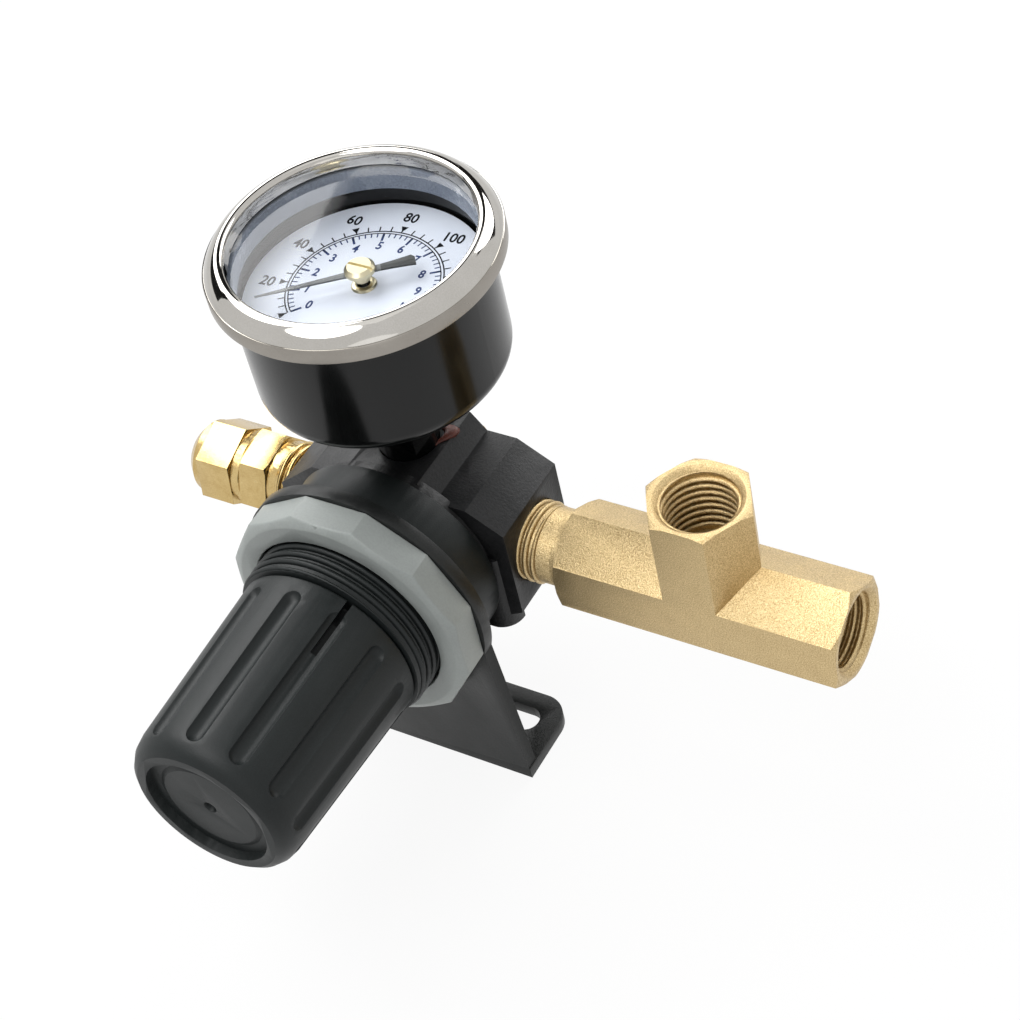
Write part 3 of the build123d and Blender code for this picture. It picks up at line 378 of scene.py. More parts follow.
# %% Table of finishes
FINISHES = (
    # name, light colour, dark colour, roughness, metal, cloud, grain, bump, shine, cloud's share
    ("cast_black", (36, 36, 37), (20, 21, 22), (0.36, 0.5), 0, 5, 0.45, 0.05, 0.3, 0.5),
    ("bracket_black", (30, 32, 31), (20, 22, 22), (0.36, 0.48), 0, 8, 0.3, 0.03, 0.3, 0.5),
    ("knob_plastic", (31, 35, 35), (22, 26, 26), (0.4, 0.5), 0, 9, 0.2, 0.02, 0.25, 0.5),
    ("nut_plastic", (160, 165, 162), (150, 155, 152), (0.4, 0.5), 0, 10, 0.35, 0.006, 0.35, 0.5),
    ("sandy_brass", (226, 203, 156), (172, 146, 101), (0.36, 0.46), 1, 3, 0.2, 0.12, 0.5, 0.15),
    ("bright_brass", (212, 187, 132), (184, 156, 100), (0.18, 0.28), 1, 3, 0.15, 0.01, 0.5, 0.5),
    ("bright_steel", (205, 205, 206), (176, 177, 179), (0.22, 0.32), 1, 4, 0.1, 0.01, 0.5, 0.5),
    ("bezel_steel", (190, 187, 182), (180, 177, 171), (0.04, 0.08), 1, 6, 0.2, 0.001, 0.5, 0.5),
    ("satin_steel", (158, 153, 146), (144, 139, 132), (0.26, 0.34), 1, 6, 0.12, 0.01, 0.5, 0.5),
    ("case_black", (11, 12, 12), (6, 7, 7), (0.13, 0.19), 0, 10, 0.6, 0.002, 0.28, 0.5),
    ("dial_white", (231, 236, 244), (222, 227, 238), (0.3, 0.4), 0, 8, 0.3, 0.003, 0.5, 0.5),
    ("print_black", (24, 25, 30), (14, 15, 18), (0.5, 0.6), 0, 3, 0.2, 0.003, 0.1, 0.5),
    ("print_blue", (66, 80, 122), (48, 62, 104), (0.5, 0.6), 0, 3, 0.2, 0.003, 0.1, 0.5),
    # the pointer's grey is a painted reflection laid on its dark paint
    ("pointer_painted_sheen", (120, 122, 120), (98, 100, 98), (0.3, 0.4), 0, 4, 0.3, 0.005, 0.5, 0.5),
    ("pointer_dark", (52, 54, 51), (36, 38, 36), (0.3, 0.4), 0, 4, 0.3, 0.005, 0.5, 0.5),
    ("hub_brass", (220, 210, 178), (212, 201, 168), (0.3, 0.36), 1, 5, 0.3, 0.001, 0.5, 0.5),
    # pale colour that paints the light caught in the clear window's skirt
    ("window_edge_painted_light", (150, 158, 170), (112, 120, 134), (0.2, 0.3), 0, 6, 0.3, 0.005, 0.5, 0.5),
    ("soft_rubber", (34, 34, 34), (24, 24, 24), (0.6, 0.75), 0, 3, 0.2, 0.02, 0.5, 0.5),
    ("thread_sealant", (122, 62, 48), (84, 40, 30), (0.3, 0.5), 0, 0.8, 0.2, 0.09, 0.5, 0.5),
)
looks = {row[0]: finish(*row) for row in FINISHES}
print(len(looks), "finishes")

# %% [markdown]
# ## Window
# The gauge window is clear plastic. A thin sheet needs no bending of light to look right, so it is
# a mix of see-through and gloss, ruled by the angle at which it is seen. Only the outer faces are
# glossy: on the inner ones the same rule would turn the window into a mirror.

# %% Clear window
window_look = bpy.data.materials.new("clear_window")
window_look.use_nodes = True
g = window_look.node_tree
g.nodes.clear()
through = add(g, "ShaderNodeBsdfTransparent", {"Color": (0.97, 0.975, 0.98, 1)})
gloss = add(g, "ShaderNodeBsdfGlossy", {"Color": (1, 1, 1, 1)})
smear = add(g, "ShaderNodeGroup", node_tree=uneven)
smear.inputs["Cloud Size"].default_value = 12.0
smear_limits = {"From Min": 0.3, "From Max": 0.7, "To Min": 0.02, "To Max": 0.06}
smear_range = add(g, "ShaderNodeMapRange", smear_limits)
g.links.new(smear.outputs["Cloud"], smear_range.inputs["Value"])
g.links.new(smear_range.outputs[0], gloss.inputs["Roughness"])
facing = add(g, "ShaderNodeFresnel", {"IOR": 1.45})
side_of = add(g, "ShaderNodeNewGeometry")
outer_only = add(g, "ShaderNodeMath", {0: 1.0}, operation="SUBTRACT")
g.links.new(side_of.outputs["Backfacing"], outer_only.inputs[1])
outer_gloss = add(g, "ShaderNodeMath", operation="MULTIPLY")
g.links.new(facing.outputs[0], outer_gloss.inputs[0])
g.links.new(outer_only.outputs[0], outer_gloss.inputs[1])
glass_mix = add(g, "ShaderNodeMixShader")
g.links.new(outer_gloss.outputs[0], glass_mix.inputs["Fac"])
g.links.new(through.outputs[0], glass_mix.inputs[1])
g.links.new(gloss.outputs[0], glass_mix.inputs[2])
g_out = add(g, "ShaderNodeOutputMaterial")
g.links.new(glass_mix.outputs[0], g_out.inputs["Surface"])
looks["clear_window"] = window_look
print("window has", len(g.nodes), "nodes")

# %% [markdown]
# ## Finishes on the measured pieces
# Each measured piece takes its finish by name. Pieces deep inside get theirs too, because the model
# can be taken apart.

# %% Dress the measured pieces
pieces_of = {
    "cast_black": ("body",),
    "bracket_black": ("mounting_bracket",),
    "knob_plastic": ("bonnet", "adjusting_knob"),
    "nut_plastic": ("panel_nut",),
    "sandy_brass": ("outlet_tee", "bourdon_tube"),
    "bright_brass": ("inlet_fitting", "compression_nut", "compression_sleeve", "spring_nut", "relief_seat",
                     "valve_seat", "valve_poppet", "valve_cap", "dial_posts", "tube_tip", "sector_gear",
                     "movement_back_plate", "movement_front_plate", "movement_pillars"),
    "bright_steel": ("adjusting_screw", "thrust_washer", "retaining_ring", "regulating_spring",
                     "diaphragm_plate", "valve_spring", "gauge_port_plug", "pinion_shaft", "sector_link",
                     "hairspring"),
    "soft_rubber": ("diaphragm", "poppet_seal", "valve_cap_o_ring"),
    "case_black": ("gauge_case", "gauge_stem"),
    "bezel_steel": ("gauge_bezel",),
    # the gasket takes the window skirt's pale colour, which is painted light
    "window_edge_painted_light": ("lens_gasket",),
    "clear_window": ("gauge_lens",),
    "dial_white": ("gauge_dial",),
    # the pointer's grey is a painted reflection laid on its dark paint
    "pointer_painted_sheen": ("gauge_pointer",),
    "hub_brass": ("pointer_hub",),
}
for look, names in pieces_of.items():
    for name in names:
        mesh = nodes[name].data
        mesh.materials.clear()
        mesh.materials.append(looks[look])
print(sum(len(names) for names in pieces_of.values()), "measured pieces dressed")

# %% [markdown]
# ## Rounded edges on the flat-sided pieces
# A moulded or machined edge is never razor sharp, and the thin highlight along it tells the eye what
# the piece is made of. A copy of the measured piece is welded, its flat faces are joined, and a
# narrow bevel runs along every edge sharper than 25 degrees. A threaded stretch is drawn in to the
# foot of its thread, which comes later as a ridge of its own.

# %% Helpers for rounded copies
WELD = 2e-6  # metres within which two points are one
FLAT = math.radians(0.5)
SHARP = math.radians(25.0)


def rounded(node, width, change=None):
    """Copy of a measured piece with narrow rounded edges, standing in for it."""
    source = nodes[node]
    mesh = source.data.copy()
    mesh.name = node + "_rounded"
    shape = bmesh.new()
    shape.from_mesh(mesh)
    bmesh.ops.remove_doubles(shape, verts=shape.verts, dist=WELD)
    bmesh.ops.dissolve_limit(shape, angle_limit=FLAT, verts=shape.verts, edges=shape.edges)
    if change:
        change(shape)
    shape.to_mesh(mesh)
    shape.free()
    piece = bpy.data.objects.new(node + "_rounded", mesh)
    scene.collection.objects.link(piece)
    bevel = piece.modifiers.new("edges", "BEVEL")
    bevel.width = width * MM
    bevel.segments = 2
    bevel.limit_method = "ANGLE"
    bevel.angle_limit = SHARP
    bevel.use_clamp_overlap = True
    bevel.harden_normals = True
    mesh.polygons.foreach_set("use_smooth", [True] * len(mesh.polygons))
    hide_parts(node)
    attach(piece, source["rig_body"])
    return piece


def narrowed(axis, centre_mm, reach_mm, old_mm, new_mm):
    """Change for rounded(): draws a threaded stretch in to the foot of its thread."""
    side_a, side_b = [i for i in range(3) if i != axis]
    centre = Vector(centre_mm) * MM
    near = 0.02

    def change(shape):
        for point in shape.verts:
            along = point.co[axis] / MM
            a, b = point.co[side_a] - centre[side_a], point.co[side_b] - centre[side_b]
            radius = math.hypot(a, b) / MM
            if reach_mm[0] - near < along < reach_mm[1] + near and abs(radius - old_mm) < near:
                point.co[side_a] = centre[side_a] + a * new_mm / old_mm
                point.co[side_b] = centre[side_b] + b * new_mm / old_mm
    return change


print("edges sharper than", round(math.degrees(SHARP)), "degrees will be rounded")

# %% [markdown]
# ## The rounded copies
# Castings and mouldings have the softest edges, and machined brass has the crispest, so each piece
# has a width of its own.

# %% Rounded copies
X, Y, Z = 0, 1, 2
INLET = AXES - Vector((0, 0, 2.6))  # the inlet's axis lies a little lower
PIPE, PIPE_CORE = 6.55, 6.1
edges = {
    "body": (0.45, None),
    "mounting_bracket": (0.35, None),
    "panel_nut": (0.8, None),
    "bonnet": (0.15, narrowed(Y, AXES, (AXES.y - 30.0, AXES.y - 17.2), 16.2, 15.5)),
    "outlet_tee": (0.22, narrowed(X, AXES, (10.6, 25.4), PIPE, PIPE_CORE)),
    "inlet_fitting": (0.15, narrowed(X, INLET, (-28.0, -11.6), PIPE, PIPE_CORE)),
    "compression_nut": (0.15, None),
    "adjusting_knob": (0.3, None),
    "gauge_stem": (0.12, None),
}
print("piece, rounding in mm:")
for node, (width, change) in edges.items():
    piece = rounded(node, width, change=change)
    print(" ", node, width, len(piece.data.vertices), "points")

# %% [markdown]
# ## A thread by Geometry Nodes
# A screw thread is one ridge wound round a cylinder. The tree draws a spiral and turns the ridge's
# cross-section to face the axis. The section is four corners: a wide foot sunk a little into the
# core, and a narrow crest. The same tree serves outer and inner threads: a negative depth points
# the ridge inwards.

# %% Thread tree: spiral and cross-section
thread_tree = bpy.data.node_groups.new("thread", "GeometryNodeTree")
for title, kind, value in (("Radius", "NodeSocketFloat", 6.0), ("Pitch", "NodeSocketFloat", 1.4),
                           ("Turns", "NodeSocketFloat", 8.0), ("Depth", "NodeSocketFloat", 0.45),
                           ("Root", "NodeSocketFloat", 0.1), ("Points per Turn", "NodeSocketInt", 48),
                           ("Finish", "NodeSocketMaterial", None)):
    socket(thread_tree, title, kind, value)
socket(thread_tree, "Geometry", "NodeSocketGeometry", way="OUTPUT")
h = thread_tree
h_in = add(h, "NodeGroupInput")
height = add(h, "ShaderNodeMath", operation="MULTIPLY")
h.links.new(h_in.outputs["Pitch"], height.inputs[0])
h.links.new(h_in.outputs["Turns"], height.inputs[1])
spiral = add(h, "GeometryNodeCurveSpiral")
for source, target in (("Points per Turn", "Resolution"), ("Turns", "Rotations"),
                       ("Radius", "Start Radius"), ("Radius", "End Radius")):
    h.links.new(h_in.outputs[source], spiral.inputs[target])
h.links.new(height.outputs[0], spiral.inputs["Height"])
upright = add(h, "GeometryNodeSetCurveNormal", mode="Z_UP")
h.links.new(spiral.outputs[0], upright.inputs["Curve"])
crest = add(h, "ShaderNodeMath", {1: -1.0}, operation="MULTIPLY")
h.links.new(h_in.outputs["Depth"], crest.inputs[0])
section = add(h, "GeometryNodeCurvePrimitiveQuadrilateral", mode="POINTS")
FOOT, CREST = 0.47, 0.07  # half widths as shares of the pitch
corners = (("Root", FOOT), ("Root", -FOOT), ("Depth", -CREST), ("Depth", CREST))
for number, (depth_from, share) in enumerate(corners, 1):
    half = add(h, "ShaderNodeMath", {1: share}, operation="MULTIPLY")
    h.links.new(h_in.outputs["Pitch"], half.inputs[0])
    corner = add(h, "ShaderNodeCombineXYZ")
    sunk = h_in.outputs["Root"] if depth_from == "Root" else crest.outputs[0]
    h.links.new(sunk, corner.inputs["X"])
    h.links.new(half.outputs[0], corner.inputs["Y"])
    h.links.new(corner.outputs[0], section.inputs["Point %d" % number])
print("cross-section has", len(corners), "corners")

# %% [markdown]
# ## Sweeping the ridge
# The cross-section is swept along the spiral. A cut thread runs out at its ends, so the ridge's size
# grows from almost nothing over the first half turn, and shrinks again over the last.

# %% Thread tree: sweep and run-out
along = add(h, "GeometryNodeSplineParameter")
from_middle = add(h, "ShaderNodeMath", {1: 0.5}, operation="SUBTRACT")
h.links.new(along.outputs["Factor"], from_middle.inputs[0])
distance = add(h, "ShaderNodeMath", operation="ABSOLUTE")
h.links.new(from_middle.outputs[0], distance.inputs[0])
to_end = add(h, "ShaderNodeMath", {0: 0.5}, operation="SUBTRACT")
h.links.new(distance.outputs[0], to_end.inputs[1])
run_out = add(h, "ShaderNodeMath", operation="MULTIPLY")
h.links.new(to_end.outputs[0], run_out.inputs[0])
h.links.new(h_in.outputs["Turns"], run_out.inputs[1])
fade_limits = {"From Min": 0.0, "From Max": 0.5, "To Min": 0.03, "To Max": 1.0}
fade_in = add(h, "ShaderNodeMapRange", fade_limits)
h.links.new(run_out.outputs[0], fade_in.inputs["Value"])
sweep = add(h, "GeometryNodeCurveToMesh", {"Fill Caps": True})
h.links.new(upright.outputs["Curve"], sweep.inputs["Curve"])
h.links.new(section.outputs[0], sweep.inputs["Profile Curve"])
h.links.new(fade_in.outputs[0], sweep.inputs["Scale"])
real = add(h, "GeometryNodeRealizeInstances")
h.links.new(sweep.outputs[0], real.inputs[0])
dressed = add(h, "GeometryNodeSetMaterial")
h.links.new(real.outputs[0], dressed.inputs["Geometry"])
h.links.new(h_in.outputs["Finish"], dressed.inputs["Material"])
h_out = add(h, "NodeGroupOutput")
h.links.new(dressed.outputs[0], h_out.inputs[0])
print("thread tree has", len(h.nodes), "nodes")

# %% [markdown]
# ## From a tree to a plain mesh
# A geometry tree lives on a modifier. To keep its result, the tree runs once on an empty mesh and
# what it makes is copied as a plain mesh, whose place is then in its points and not in the object.

# %% Helpers for grown pieces


def keep(name, mesh, body):
    """Put a finished mesh in the scene, riding on a body."""
    piece = bpy.data.objects.new(name, mesh)
    scene.collection.objects.link(piece)
    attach(piece, body)
    print(" ", name, len(mesh.vertices), "points")
    return piece


def grow(name, tree, values, place, body):
    """Run a geometry tree once, and keep what it makes as a plain mesh on a body."""
    seed = bpy.data.objects.new(name + "_seed", bpy.data.meshes.new(name + "_seed"))
    scene.collection.objects.link(seed)
    modifier = seed.modifiers.new("make", "NODES")
    modifier.node_group = tree
    for item in tree.interface.items_tree:
        if item.in_out == "INPUT":
            modifier[item.identifier] = values[item.name]
    result = seed.evaluated_get(bpy.context.evaluated_depsgraph_get())
    mesh = bpy.data.meshes.new_from_object(result)
    seed.modifiers.remove(modifier)
    bpy.data.objects.remove(seed)
    mesh.name = name
    mesh.transform(place)
    shape = bmesh.new()
    shape.from_mesh(mesh)
    bmesh.ops.recalc_face_normals(shape, faces=shape.faces)
    shape.to_mesh(mesh)
    shape.free()
    keep(name, mesh, body)


def along_axis(direction, start_mm):
    """Matrix that stands a shape made on Z, in millimetres, on another axis of the object."""
    standing = Vector((0, 0, 1)).rotation_difference(Vector(direction)).to_matrix().to_4x4()
    return Matrix.Translation(Vector(start_mm) * MM) @ standing @ Matrix.Scale(MM, 4)


print("a thread 10 mm long becomes", round(10 * MM, 3), "m")

# %% [markdown]
# ## The threads
# The bonnet carries a coarse moulded thread for the panel nut. The pipe threads are finer: nineteen
# turns to the inch on the tee and the inlet fitting. Each inner one starts a little inside its hole,
# where a tap has cut a lead-in.

# %% Threads
PIPE_PITCH = 1.34
MALE, FEMALE = 6.12, 6.04  # radii at the foot of the pipe threads
ROOT = 0.08
branch_x = 50.4
branch_top = 20.1
run_end = 73.5
mouth = 0.7
threads = (
    # name, radius, pitch, turns, depth, finish, direction, start from the axes, slot
    ("bonnet_thread", 15.52, 1.55, 8.0, 0.46, "knob_plastic", (0, -1, 0), (0, -17.6, 0), "bonnet"),
    ("tee_male_thread", MALE, PIPE_PITCH, 8.7, 0.42, "sandy_brass", (1, 0, 0), (11.4, 0, 0), "outlet_tee"),
    ("inlet_male_thread", MALE, PIPE_PITCH, 10.5, 0.42, "bright_brass", (-1, 0, 0), (-12, 0, -2.6),
     "inlet_fitting"),
    ("tee_run_thread", FEMALE, PIPE_PITCH, 8.6, -0.6, "sandy_brass", (-1, 0, 0),
     (run_end - mouth, 0, 0), "outlet_tee"),
    ("tee_branch_thread", FEMALE, PIPE_PITCH, 8.6, -0.6, "sandy_brass", (0, 0, -1),
     (branch_x, 0, branch_top - mouth), "outlet_tee"),
)
for name, radius, pitch, turns, depth, look, direction, start, slot in threads:
    values = {"Radius": radius, "Pitch": pitch, "Turns": turns, "Depth": depth,
              "Root": math.copysign(ROOT, depth), "Points per Turn": 56, "Finish": looks[look]}
    grow(name, thread_tree, values, along_axis(direction, AXES + Vector(start)), "housing")

# %% [markdown]
# ## Scale marks by Geometry Nodes
# A dial is printed, so every mark is the same small shape turned about the dial's centre. The tree
# makes one bar or triangle at its radius and sets copies of it at equal angles.

# %% Tree for a ring of marks
marks_tree = bpy.data.node_groups.new("ring_of_marks", "GeometryNodeTree")
for title, kind, value in (("Count", "NodeSocketInt", 33), ("First Angle", "NodeSocketFloat", 0.0),
                           ("Step", "NodeSocketFloat", 0.1), ("Radius", "NodeSocketFloat", 12.0),
                           ("Length", "NodeSocketFloat", 1.0), ("Width", "NodeSocketFloat", 0.12),
                           ("Thickness", "NodeSocketFloat", 0.04), ("Corners", "NodeSocketInt", 4),
                           ("Turn", "NodeSocketFloat", 0.7854), ("Finish", "NodeSocketMaterial", None)):
    socket(marks_tree, title, kind, value)
socket(marks_tree, "Geometry", "NodeSocketGeometry", way="OUTPUT")
m = marks_tree
m_in = add(m, "NodeGroupInput")
HALF_DIAGONAL = 0.7071  # of a square with sides of 1
mark = add(m, "GeometryNodeMeshCylinder", {"Radius": HALF_DIAGONAL, "Depth": 1.0})
m.links.new(m_in.outputs["Corners"], mark.inputs["Vertices"])
spin = add(m, "ShaderNodeCombineXYZ")
m.links.new(m_in.outputs["Turn"], spin.inputs["Z"])
squared = add(m, "GeometryNodeTransform")
m.links.new(mark.outputs["Mesh"], squared.inputs["Geometry"])
m.links.new(spin.outputs[0], squared.inputs["Rotation"])
sizes = add(m, "ShaderNodeCombineXYZ")
for title, axis in (("Length", "X"), ("Width", "Y"), ("Thickness", "Z")):
    m.links.new(m_in.outputs[title], sizes.inputs[axis])
out_to = add(m, "ShaderNodeCombineXYZ")
m.links.new(m_in.outputs["Radius"], out_to.inputs["X"])
placed = add(m, "GeometryNodeTransform")
m.links.new(squared.outputs[0], placed.inputs["Geometry"])
m.links.new(out_to.outputs[0], placed.inputs["Translation"])
m.links.new(sizes.outputs[0], placed.inputs["Scale"])
print("one mark takes", len(m.nodes), "nodes so far")

# %% [markdown]
# ## Copies of the mark
# Points that all lie at the centre carry the copies, and each copy is turned by its own number times
# the step. The copies are made real at the end, because a printed mark is a shape of its own.

# %% Tree for a ring of marks: the copies
centres = add(m, "GeometryNodePoints")
m.links.new(m_in.outputs["Count"], centres.inputs["Count"])
number = add(m, "GeometryNodeInputIndex")
angle = add(m, "ShaderNodeMath", operation="MULTIPLY_ADD")
m.links.new(number.outputs[0], angle.inputs[0])
m.links.new(m_in.outputs["Step"], angle.inputs[1])
m.links.new(m_in.outputs["First Angle"], angle.inputs[2])
facing_out = add(m, "ShaderNodeCombineXYZ")
m.links.new(angle.outputs[0], facing_out.inputs["Z"])
copies = add(m, "GeometryNodeInstanceOnPoints")
m.links.new(centres.outputs[0], copies.inputs["Points"])
m.links.new(placed.outputs[0], copies.inputs["Instance"])
m.links.new(facing_out.outputs[0], copies.inputs["Rotation"])
m_real = add(m, "GeometryNodeRealizeInstances")
m.links.new(copies.outputs[0], m_real.inputs[0])
m_dressed = add(m, "GeometryNodeSetMaterial")
m.links.new(m_real.outputs[0], m_dressed.inputs["Geometry"])
m.links.new(m_in.outputs["Finish"], m_dressed.inputs["Material"])
m_out = add(m, "NodeGroupOutput")
m.links.new(m_dressed.outputs[0], m_out.inputs[0])
print("ring of marks has", len(m.nodes), "nodes")

# %% [markdown]
# ## The dial's print
# The dial carries two scales over the same 270 degrees: pounds per square inch outside, in black,
# and bar inside, in grey blue. Zero stands low on the left and both run clockwise.

# %% Scale marks
ZERO = 228.5
SWEEP = 270.0
PSI_STEPS = 8  # numbered steps of 20
BAR_END = 160.0 / 14.504  # the scale's end in bar
BAR_STEP = SWEEP / BAR_END
dial_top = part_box("gauge_dial")[1][2] / MM
dial_place = Matrix.Translation(Vector((0, AXES.y, dial_top)) * MM) @ Matrix.Scale(MM, 4)
SQUARE = math.radians(45)
rings = (
    # name, count, step in degrees, radius, length, width, corners, turn, finish
    ("psi_marks", 33, SWEEP / 32, 12.35, 0.95, 0.2, 4, SQUARE, "print_black"),
    ("psi_arrows", PSI_STEPS + 1, SWEEP / PSI_STEPS, 12.75, 1.1, 0.95, 3, math.pi, "print_black"),
    ("bar_marks", 12, BAR_STEP, 10.45, 1.6, 0.36, 4, SQUARE, "print_blue"),
    ("bar_fine_marks", 56, BAR_STEP / 5, 10.85, 0.85, 0.2, 4, SQUARE, "print_blue"),
)
for name, count, step, radius, length, width, corners, turn_by, look in rings:
    values = {"Count": count, "First Angle": math.radians(ZERO), "Step": -math.radians(step),
              "Radius": radius, "Length": length, "Width": width, "Thickness": 0.05,
              "Corners": corners, "Turn": turn_by, "Finish": looks[look]}
    grow(name, marks_tree, values, dial_place, "housing")

# %% [markdown]
# ## Arcs and numbers
# Two thin arcs part the scales. The numbers are text made into a mesh before they are placed, so
# that their place is in the mesh. All stand upright on the dial, which itself is turned a little.

# %% Helpers for the print
DIAL_TURN = 3.5
PRINT_TOP, PRINT_FOOT = 0.03, -0.02  # the ink stands a little proud and sinks a little in


def arc_band(shape, inner, outer, first, last, steps=120):
    """Thin flat ring from one angle to another, as a closed solid strip."""
    rows = []
    outline = ((inner, PRINT_TOP), (outer, PRINT_TOP), (outer, PRINT_FOOT), (inner, PRINT_FOOT))
    for index in range(steps + 1):
        angle = math.radians(first + (last - first) * index / steps)
        rows.append([shape.verts.new((r * math.cos(angle), r * math.sin(angle), z)) for r, z in outline])
    for one, two in zip(rows, rows[1:]):
        for side in range(4):
            after = (side + 1) % 4
            shape.faces.new((one[side], two[side], two[after], one[after]))
    shape.faces.new(rows[0])
    shape.faces.new(rows[-1][::-1])


def closed(name, shape, place):
    """Mesh from a shape drawn in millimetres, with its faces turned outwards and in its place."""
    bmesh.ops.recalc_face_normals(shape, faces=shape.faces)
    mesh = bpy.data.meshes.new(name)
    shape.to_mesh(mesh)
    shape.free()
    mesh.transform(place)
    return mesh


def printed(name, shape, look, body="housing"):
    """Finish a shape drawn on the dial in millimetres."""
    mesh = closed(name, shape, dial_place)
    mesh.materials.append(looks[look])
    return keep(name, mesh, body)


def add_text(shape, text, size, narrow, radius, angle):
    """Add a number to a shape, centred at a radius and an angle on the dial."""
    letters = bpy.data.curves.new("number", "FONT")
    letters.body = text
    letters.size = size
    letters.align_x = "CENTER"
    letters.align_y = "CENTER"
    letters.extrude = 0.025
    letters.offset = 0.045
    letters.resolution_u = 3
    holder = bpy.data.objects.new("number", letters)
    scene.collection.objects.link(holder)
    result = holder.evaluated_get(bpy.context.evaluated_depsgraph_get())
    mesh = bpy.data.meshes.new_from_object(result)
    bpy.data.objects.remove(holder)
    angle = math.radians(angle)
    spot = Vector((radius * math.cos(angle), radius * math.sin(angle), 0.02))
    slim = Matrix.Diagonal((narrow, 1, 1, 1))
    upright = Matrix.Rotation(math.radians(DIAL_TURN), 4, "Z")
    mesh.transform(Matrix.Translation(spot) @ upright @ slim)
    shape.from_mesh(mesh)


print("ink stands", PRINT_TOP, "mm above the dial")

# %% [markdown]
# ## Printing the dial
# The outer numbers rise by twenties and the inner ones by one. All the numbers of a scale share one
# mesh, as they share one ink.

# %% Arcs and numbers
lines = bmesh.new()
arc_band(lines, 11.66, 11.86, ZERO, ZERO - SWEEP)
arc_band(lines, 11.22, 11.38, ZERO, ZERO - SWEEP)
printed("scale_arcs", lines, "print_black")
psi_numbers = bmesh.new()
for index in range(PSI_STEPS + 1):
    add_text(psi_numbers, str(20 * index), 2.75, 0.86, 15.1, ZERO - index * SWEEP / PSI_STEPS)
printed("psi_numbers", psi_numbers, "print_black")
bar_numbers = bmesh.new()
for index in range(12):
    add_text(bar_numbers, str(index), 2.3, 0.82, 8.5, ZERO - index * SWEEP / BAR_END)
printed("bar_numbers", bar_numbers, "print_blue")

# %% [markdown]
# ## Pointer
# The pointer is stamped from thin sheet and painted dark. The blade that tapers to its tip is coloured
# grey, a painted reflection of the light it catches, and the broader tail's end keeps the dark paint.
# Drawing it as one strip of stations along its length keeps the taper smooth.

# %% Pointer
POINTER_ANGLE = 218.0
TAIL = -3.0  # from here on the paint is dark
TAIL_END = -8.1
TAIL_SKEW = 0.35  # the tail is cut off at a slant
CROWN = 0.05
stations = (  # distance from the hub, half width
    (15.7, 0.05), (12.5, 0.2), (8.0, 0.34), (3.0, 0.5), (1.6, 0.62), (0.0, 0.9), (-1.6, 0.62),
    (TAIL, 0.6), (-4.6, 0.72), (-6.4, 0.92), (-7.6, 1.06), (TAIL_END, 0.8))
blade = bmesh.new()
blade_low, blade_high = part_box("gauge_pointer")
top = blade_high[2] / MM - dial_top
under = blade_low[2] / MM - dial_top
spin_by = Matrix.Rotation(math.radians(POINTER_ANGLE), 4, "Z")
rows = []
for reach, half in stations:
    skew = TAIL_SKEW if reach == TAIL_END else 0.0
    rows.append([blade.verts.new(spin_by @ Vector(p)) for p in (
        (reach, -half + skew, under), (reach, half + skew, under), (reach, half + skew, top - CROWN),
        (reach, 0, top), (reach, -half + skew, top - CROWN))])
# Faces nearer the tip take the grey painted reflection, and faces past the tail take the dark paint.
for index, (one, two) in enumerate(zip(rows, rows[1:])):
    for side in range(5):
        after = (side + 1) % 5
        face = blade.faces.new((one[side], two[side], two[after], one[after]))
        face.material_index = 1 if stations[index][0] <= TAIL else 0
blade.faces.new(rows[0])
blade.faces.new(rows[-1][::-1]).material_index = 1
# The blade's grey is a painted reflection; the dark tail is the pointer's own paint.
pointer_piece = printed("pointer_blade", blade, "pointer_painted_sheen", "pointer")
pointer_piece.data.materials.append(looks["pointer_dark"])
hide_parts("gauge_pointer")

# %% [markdown]
# ## Turned pieces
# Whatever is made on a lathe or pressed round is one outline turned about an axis. The outline is a
# closed loop of radius and height, and each of its points says which finish the next face takes.
# The first use is a small brass ring round the dial's hole, a painted reflection of the hub in the dial.

# %% Turned pieces and the painted reflection of the hub


def turned(name, profile, steps, finishes, base, body="housing", place=None):
    """Ring turned on an axis, the gauge's own if place is left out, from a closed outline of
    (radius, height, finish number)."""
    shape = bmesh.new()
    rows = [[shape.verts.new((r * math.cos(a), r * math.sin(a), z)) for r, z, _ in profile]
            for a in (2 * math.pi * i / steps for i in range(steps))]
    for index, one in enumerate(rows):
        two = rows[(index + 1) % steps]
        for side in range(len(profile)):
            after = (side + 1) % len(profile)
            face = shape.faces.new((one[side], two[side], two[after], one[after]))
            face.material_index = profile[side][2]
            face.smooth = True
    mesh = closed(name, shape, place or along_axis((0, 0, 1), (0, AXES.y, base)))
    mesh.set_sharp_from_angle(angle=math.radians(38))
    for look in finishes:
        mesh.materials.append(looks[look])
    return keep(name, mesh, body)


# A brass ring on the dial under the hub: a painted reflection of the hub in the dial.
hub_reflection_outline = ((1.0, 0.02, 0), (1.05, 0.42, 0), (1.3, 0.5, 0), (1.75, 0.34, 0), (1.95, 0.02, 0))
turned("hub_reflection_ring", hub_reflection_outline, 48, ["hub_brass"], dial_top)

# %% [markdown]
# ## Bezel
# The bezel is pressed steel: a satin side, a fine step, and a polished crown that rolls in and down
# to the window. Two bent lines are enough for the crown.

# %% Bezel


def bent(start, pull, end, count, look):
    """Points along a bent line that starts and ends where it is told and leans to a third point."""
    points = []
    for index in range(count):
        t = index / count
        middle = tuple((1 - t) ** 2 * start[i] + 2 * t * (1 - t) * pull[i] + t * t * end[i] for i in (0, 1))
        points.append(middle + (look,))
    return points


